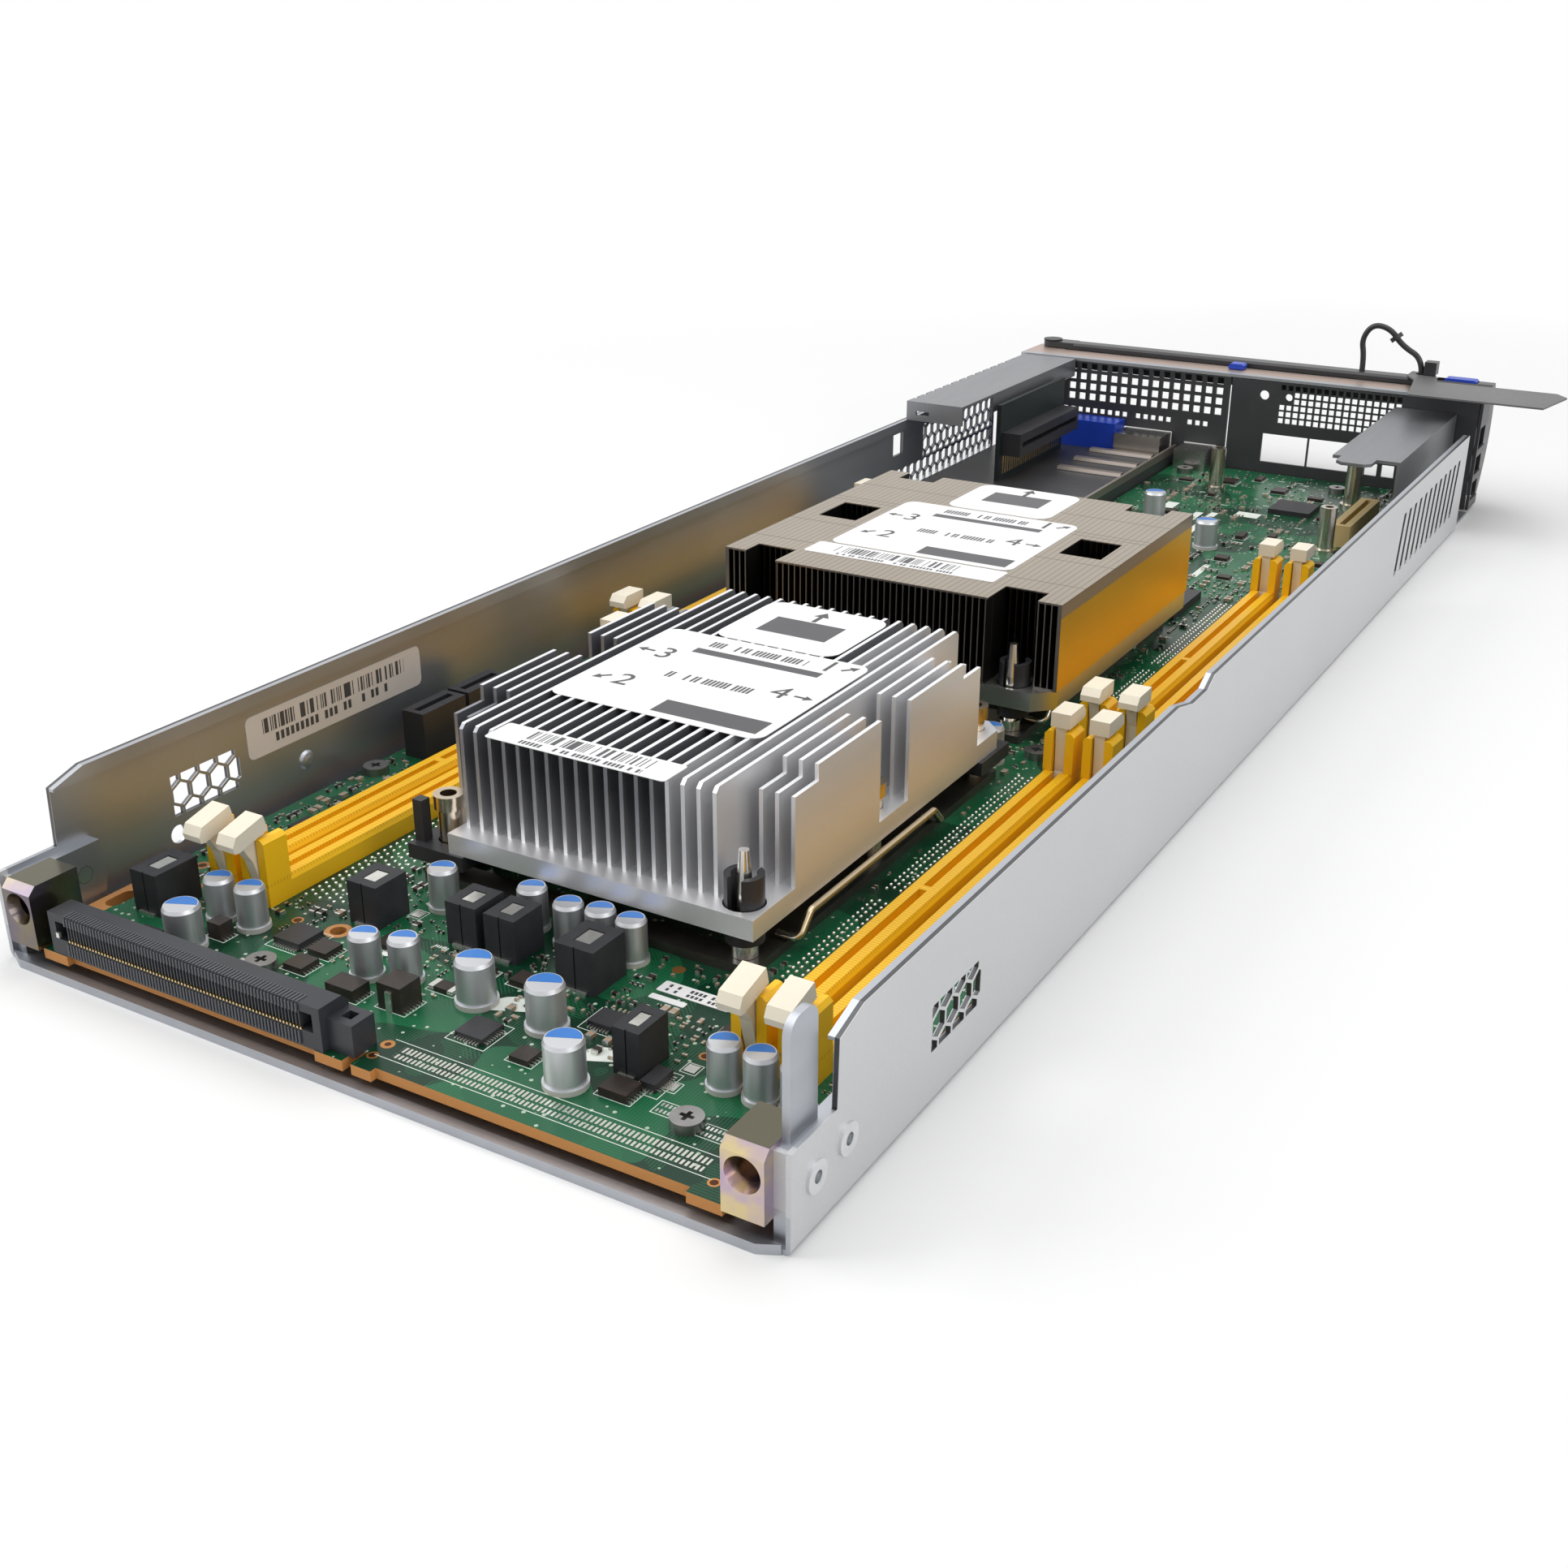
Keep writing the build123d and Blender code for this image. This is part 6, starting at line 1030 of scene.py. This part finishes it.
dress(can_material, "capacitors")
CAN_TOP = extent("capacitors")[1][2]
SMALL_CANS = [(-21.5, 49.5), (-16.3, 21.9), (-9.0, 24.3), (8.3, 50.4), (22.1, 51.2), (59.2, 24.9),
              (66.2, 24.9), (73.2, 24.9), (-55.8, 24.3), (-47.8, 24.6), (-1.5, 52.0), (14.9, 51.5),
              (-28.8, 172.0), (39.8, 170.0)]
LARGE_CANS = [(6.9, 24.9), (22.8, 24.6), (36.4, 12.0), (-53.0, 12.5), (-0.5, 388.0), (25.9, 362.8)]
CAN_SIZES = [(3.3, SMALL_CANS), (4.0, LARGE_CANS)]
can_blue = finish("can_blue", CAN_BLUE, CAN_BLUE_DEEP, 200.0, 0.35, 0.06, 0.2)
MOON_INSET = 0.9
MOON_TURN = math.radians(25.0)
MOON_PRINTS = [((13.8, 25.3), 4.9), ((37.1, 20.4), 4.4), ((-16.0, 30.0), 4.0)]


def half_moon(name, spot, reach, level, material):
    """A half disc printed flat: a half circle of `reach`, turned in the plane."""
    half_turn = np.linspace(MOON_TURN, MOON_TURN + math.pi, 11)
    rim = np.stack([np.cos(half_turn) * reach, np.sin(half_turn) * reach], axis=-1) + spot
    plate(name, material, rim, level, PRINT_THICK)


can_marks = [(spot, radius - MOON_INSET) for radius, spots in CAN_SIZES for spot in spots]
for index, (spot, reach) in enumerate(can_marks):
    half_moon(f"can_mark_{index}", spot, reach, CAN_TOP, can_blue)
for index, (spot, reach) in enumerate(MOON_PRINTS):
    half_moon(f"board_mark_{index}", spot, reach, board_top, board_print)

# Card mounts.
# Standoffs turned from hexagon bar and gold flashed, screwed to the board to hold the add-on card clear
# of the parts under it.
STANDOFF_GOLD = rgb(0.62, 0.54, 0.38)
STANDOFF_PALE = rgb(0.72, 0.70, 0.66)
dress(finish("standoff_plate", STANDOFF_GOLD, STANDOFF_PALE, 120.0, 0.22, 0.06, 1.0), "card_standoffs")

# Port end.
# Perforated steel panels in satin black; the flange above them is bare sheet, pale along the fold and
# warm beyond it. The shelf is black, and its raised ribs and rim are coloured pale.
PANEL_BLACK = rgb(0.030, 0.031, 0.034)
PANEL_GREY = rgb(0.055, 0.056, 0.060)
FLANGE_GREY = rgb(0.40, 0.41, 0.43)
FLANGE_WARM = rgb(0.46, 0.36, 0.31)
panel_low, panel_high = extent("port_panel")
panel = Shade("panel_black")
where, x, y, z = panel.place()
drift = panel.noise(where, 60.0, 3.0)
fine = panel.noise(where, 1000.0, 2.0)
flange = z > panel_high[2] - 1.1
warm = y > panel_low[1] + 3.5
panel_colour = panel.mix(drift, PANEL_BLACK, PANEL_GREY)
panel_material = panel.set(
    colour=panel.mix(flange, panel_colour, panel.mix(warm, FLANGE_GREY, FLANGE_WARM)),
    rough=drift * 0.08 + fine * 0.08 + 0.34, metal=flange * 0.6 + 0.15, normal=panel.bump(fine, 0.01))
dress(panel_material, "port_panel", "card_panel")
SHELF_PALE = rgb(0.30, 0.26, 0.23)
SHELF_FACE = 9.3
shelf = Shade("shelf_black")
where, x, y, z = shelf.place()
drift = shelf.noise(where, 70.0, 3.0)
fine = shelf.noise(where, 1000.0, 2.0, (0.1, 1.0, 1.0))
raised = z > SHELF_FACE
shelf_material = shelf.set(
    colour=shelf.mix(raised, shelf.mix(drift, PANEL_BLACK, PANEL_GREY), SHELF_PALE),
    rough=drift * 0.1 + fine * 0.1 + 0.30, metal=raised * 0.6 + 0.2, normal=shelf.bump(fine, 0.01))
dress(shelf_material, "riser_shelf")
BAR_BLACK = rgb(0.016, 0.016, 0.018)
BAR_WORN = rgb(0.045, 0.045, 0.048)
dress(finish("bar_paint", BAR_BLACK, BAR_WORN, 90.0, 0.34, 0.08, 0.1), "ejector_lever")
PORT_BLUE = rgb(0.015, 0.06, 0.50)
PORT_BLUE_DEEP = rgb(0.010, 0.045, 0.38)
blue = finish("port_blue", PORT_BLUE, PORT_BLUE_DEEP, 120.0, 0.36)
dress(blue, "video_port", "release_tab", "panel_catch")
CAGE = rgb(0.60, 0.59, 0.56)
CAGE_DULL = rgb(0.42, 0.40, 0.37)
dress(finish("cage_steel", CAGE, CAGE_DULL, 150.0, 0.26, 0.06, 1.0), "port_cages")
card_low, card_high = extent("riser_card")
fingers = [(card_high[0], card_high[0] + 0.08, finger_y, finger_y + 1.1, card_low[2] + 2.0, card_low[2] + 8.5)
           for finger_y in np.arange(card_low[1] + 3.0, card_high[1] - 3.0, 2.0)]
bricks("riser_fingers", gold, fingers)
BARE_STRIPS = [(9.6, 12.2, 366.0, 402.0), (14.4, 16.8, 366.0, 404.0), (32.0, 34.0, 331.0, 345.0),
               (-3.0, 1.0, 402.0, 410.0), (22.0, 30.0, 404.0, 410.0)]
bricks("board_strips", board_print,
       [(*strip, board_top, board_top + SILK_LIFT) for strip in BARE_STRIPS])

# Tie.
# A moulded nylon loop that leaves the lever and goes back into it, with the tag hanging on its leg.
NYLON = rgb(0.012, 0.012, 0.013)
nylon = finish("tie_nylon", NYLON, BLACK_WORN, 200.0, 0.36)
dress(nylon, "tie_beads")
TAG_GREY = rgb(0.13, 0.13, 0.13)
TAG_DARK = rgb(0.085, 0.085, 0.085)
dress(finish("tag_film", TAG_GREY, TAG_DARK, 40.0, 0.45), "tag")
TIE_DIAMETER = 2.0
TIE_Y = 484.5
BAR_TOP = 42.4
TIE_POINTS = [(39.7, 0.0), (39.7, 5.4), (38.2, 11.4), (41.6, 16.9), (48.0, 15.7), (52.6, 10.2), (60.5, 6.2),
              (60.5, 0.0)]
TIE_ROUTE = [(x, TIE_Y, BAR_TOP + rise) for x, rise in TIE_POINTS]
curve = bpy.data.curves.new("tie", "CURVE")
curve.dimensions = "3D"
curve.bevel_depth = TIE_DIAMETER / 2 * MM
curve.bevel_resolution = 6
curve.resolution_u = 10
spline = curve.splines.new("NURBS")
spline.points.add(len(TIE_ROUTE) - 1)
for point, spot in zip(spline.points, sled(TIE_ROUTE)):
    point.co = (*spot, 1.0)
spline.order_u = 3
spline.use_endpoint_u = True
curve.materials.append(nylon)
tie = bpy.data.objects.new("tie", curve)
bpy.context.scene.collection.objects.link(tie)
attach(tie, "lever")
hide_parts("tag_tie")

# Studio.
# A white floor that keeps the sled's soft shadow and turns to plain white away from it, one broad lamp
# overhead, a key from the left and a low fill.
FLOOR_WHITE = grey(0.80)
FLOOR_HALF = 4.0
SLED_HALF = (90.0, 255.0)
SHADOW_NEAR = 0.10
SHADOW_FAR = 0.42
floor_mesh = bpy.data.meshes.new("floor")
floor_corners = FLOOR_HALF * np.array([(-1, -1, 0), (1, -1, 0), (1, 1, 0), (-1, 1, 0)])
floor_mesh.from_pydata(floor_corners.tolist(), [], [(0, 1, 2, 3)])
floor = bpy.data.objects.new("floor", floor_mesh)
bpy.context.scene.collection.objects.link(floor)
floor_shade = Shade("floor")
where, x, y, z = floor_shade.place()
floor_middle = (cad_low.y + cad_high.y) / 2 / MM - SLED_START
apart = ((abs(x) - SLED_HALF[0]) | 0.0) + ((abs(y - floor_middle) - SLED_HALF[1]) | 0.0)
away = floor_shade.clamp((apart - SHADOW_NEAR / MM) * (MM / (SHADOW_FAR - SHADOW_NEAR)))
floor_shade.set(colour=FLOOR_WHITE, rough=0.9)
paths = floor_shade.add("LightPath")
seen = paths[0] | paths[3]
glow = floor_shade.add("Emission", {}, {"Color": grey(1.0), "Strength": 1.0})[0]
lit = Socket(floor_shade, floor_shade.surface.outputs[0])
blend = floor_shade.add("MixShader", {}, {0: seen * away, 1: lit, 2: glow})[0]
floor_shade.feed(floor_shade.tree.nodes["Material Output"].inputs["Surface"], blend)
floor_mesh.materials.append(floor_shade.material)

SKY_SEEN = 1.0
SKY_UNSEEN = 0.45
world = bpy.data.worlds.new("studio")
bpy.context.scene.world = world
world.use_nodes = True
sky = world.node_tree
background = sky.nodes["Background"]
rays = sky.nodes.new("ShaderNodeLightPath")
direct = sky.nodes.new("ShaderNodeMath")
direct.operation = "MAXIMUM"
sky.links.new(rays.outputs["Is Camera Ray"], direct.inputs[0])
sky.links.new(rays.outputs["Is Glossy Ray"], direct.inputs[1])
level = sky.nodes.new("ShaderNodeMapRange")
level.inputs["To Min"].default_value = SKY_UNSEEN
level.inputs["To Max"].default_value = SKY_SEEN
sky.links.new(direct.outputs[0], level.inputs["Value"])
sky.links.new(level.outputs[0], background.inputs["Strength"])
background.inputs["Color"].default_value = grey(1.0)

LAMPS = [
    ("overhead", (0.0, 0.1, 1.4), (0.0, 0.0, 0.0), 1.6, 14.0),
    ("key", (-1.1, -0.6, 0.9), (0.0, 0.0, 0.0), 0.9, 10.0),
    ("fill", (1.2, -0.3, 0.6), (0.0, 0.1, 0.0), 0.9, 5.0),
]
for name, spot, aim, size, power in LAMPS:
    lamp_data = bpy.data.lights.new(name, "AREA")
    lamp_data.size = size
    lamp_data.energy = power
    lamp = bpy.data.objects.new(name, lamp_data)
    lamp.location = spot
    direction = np.array(aim) - np.array(spot)
    lamp.rotation_euler = (math.atan2(math.hypot(direction[0], direction[1]), -direction[2]), 0.0,
                           math.atan2(direction[0], -direction[1]) + math.pi)
    bpy.context.scene.collection.objects.link(lamp)
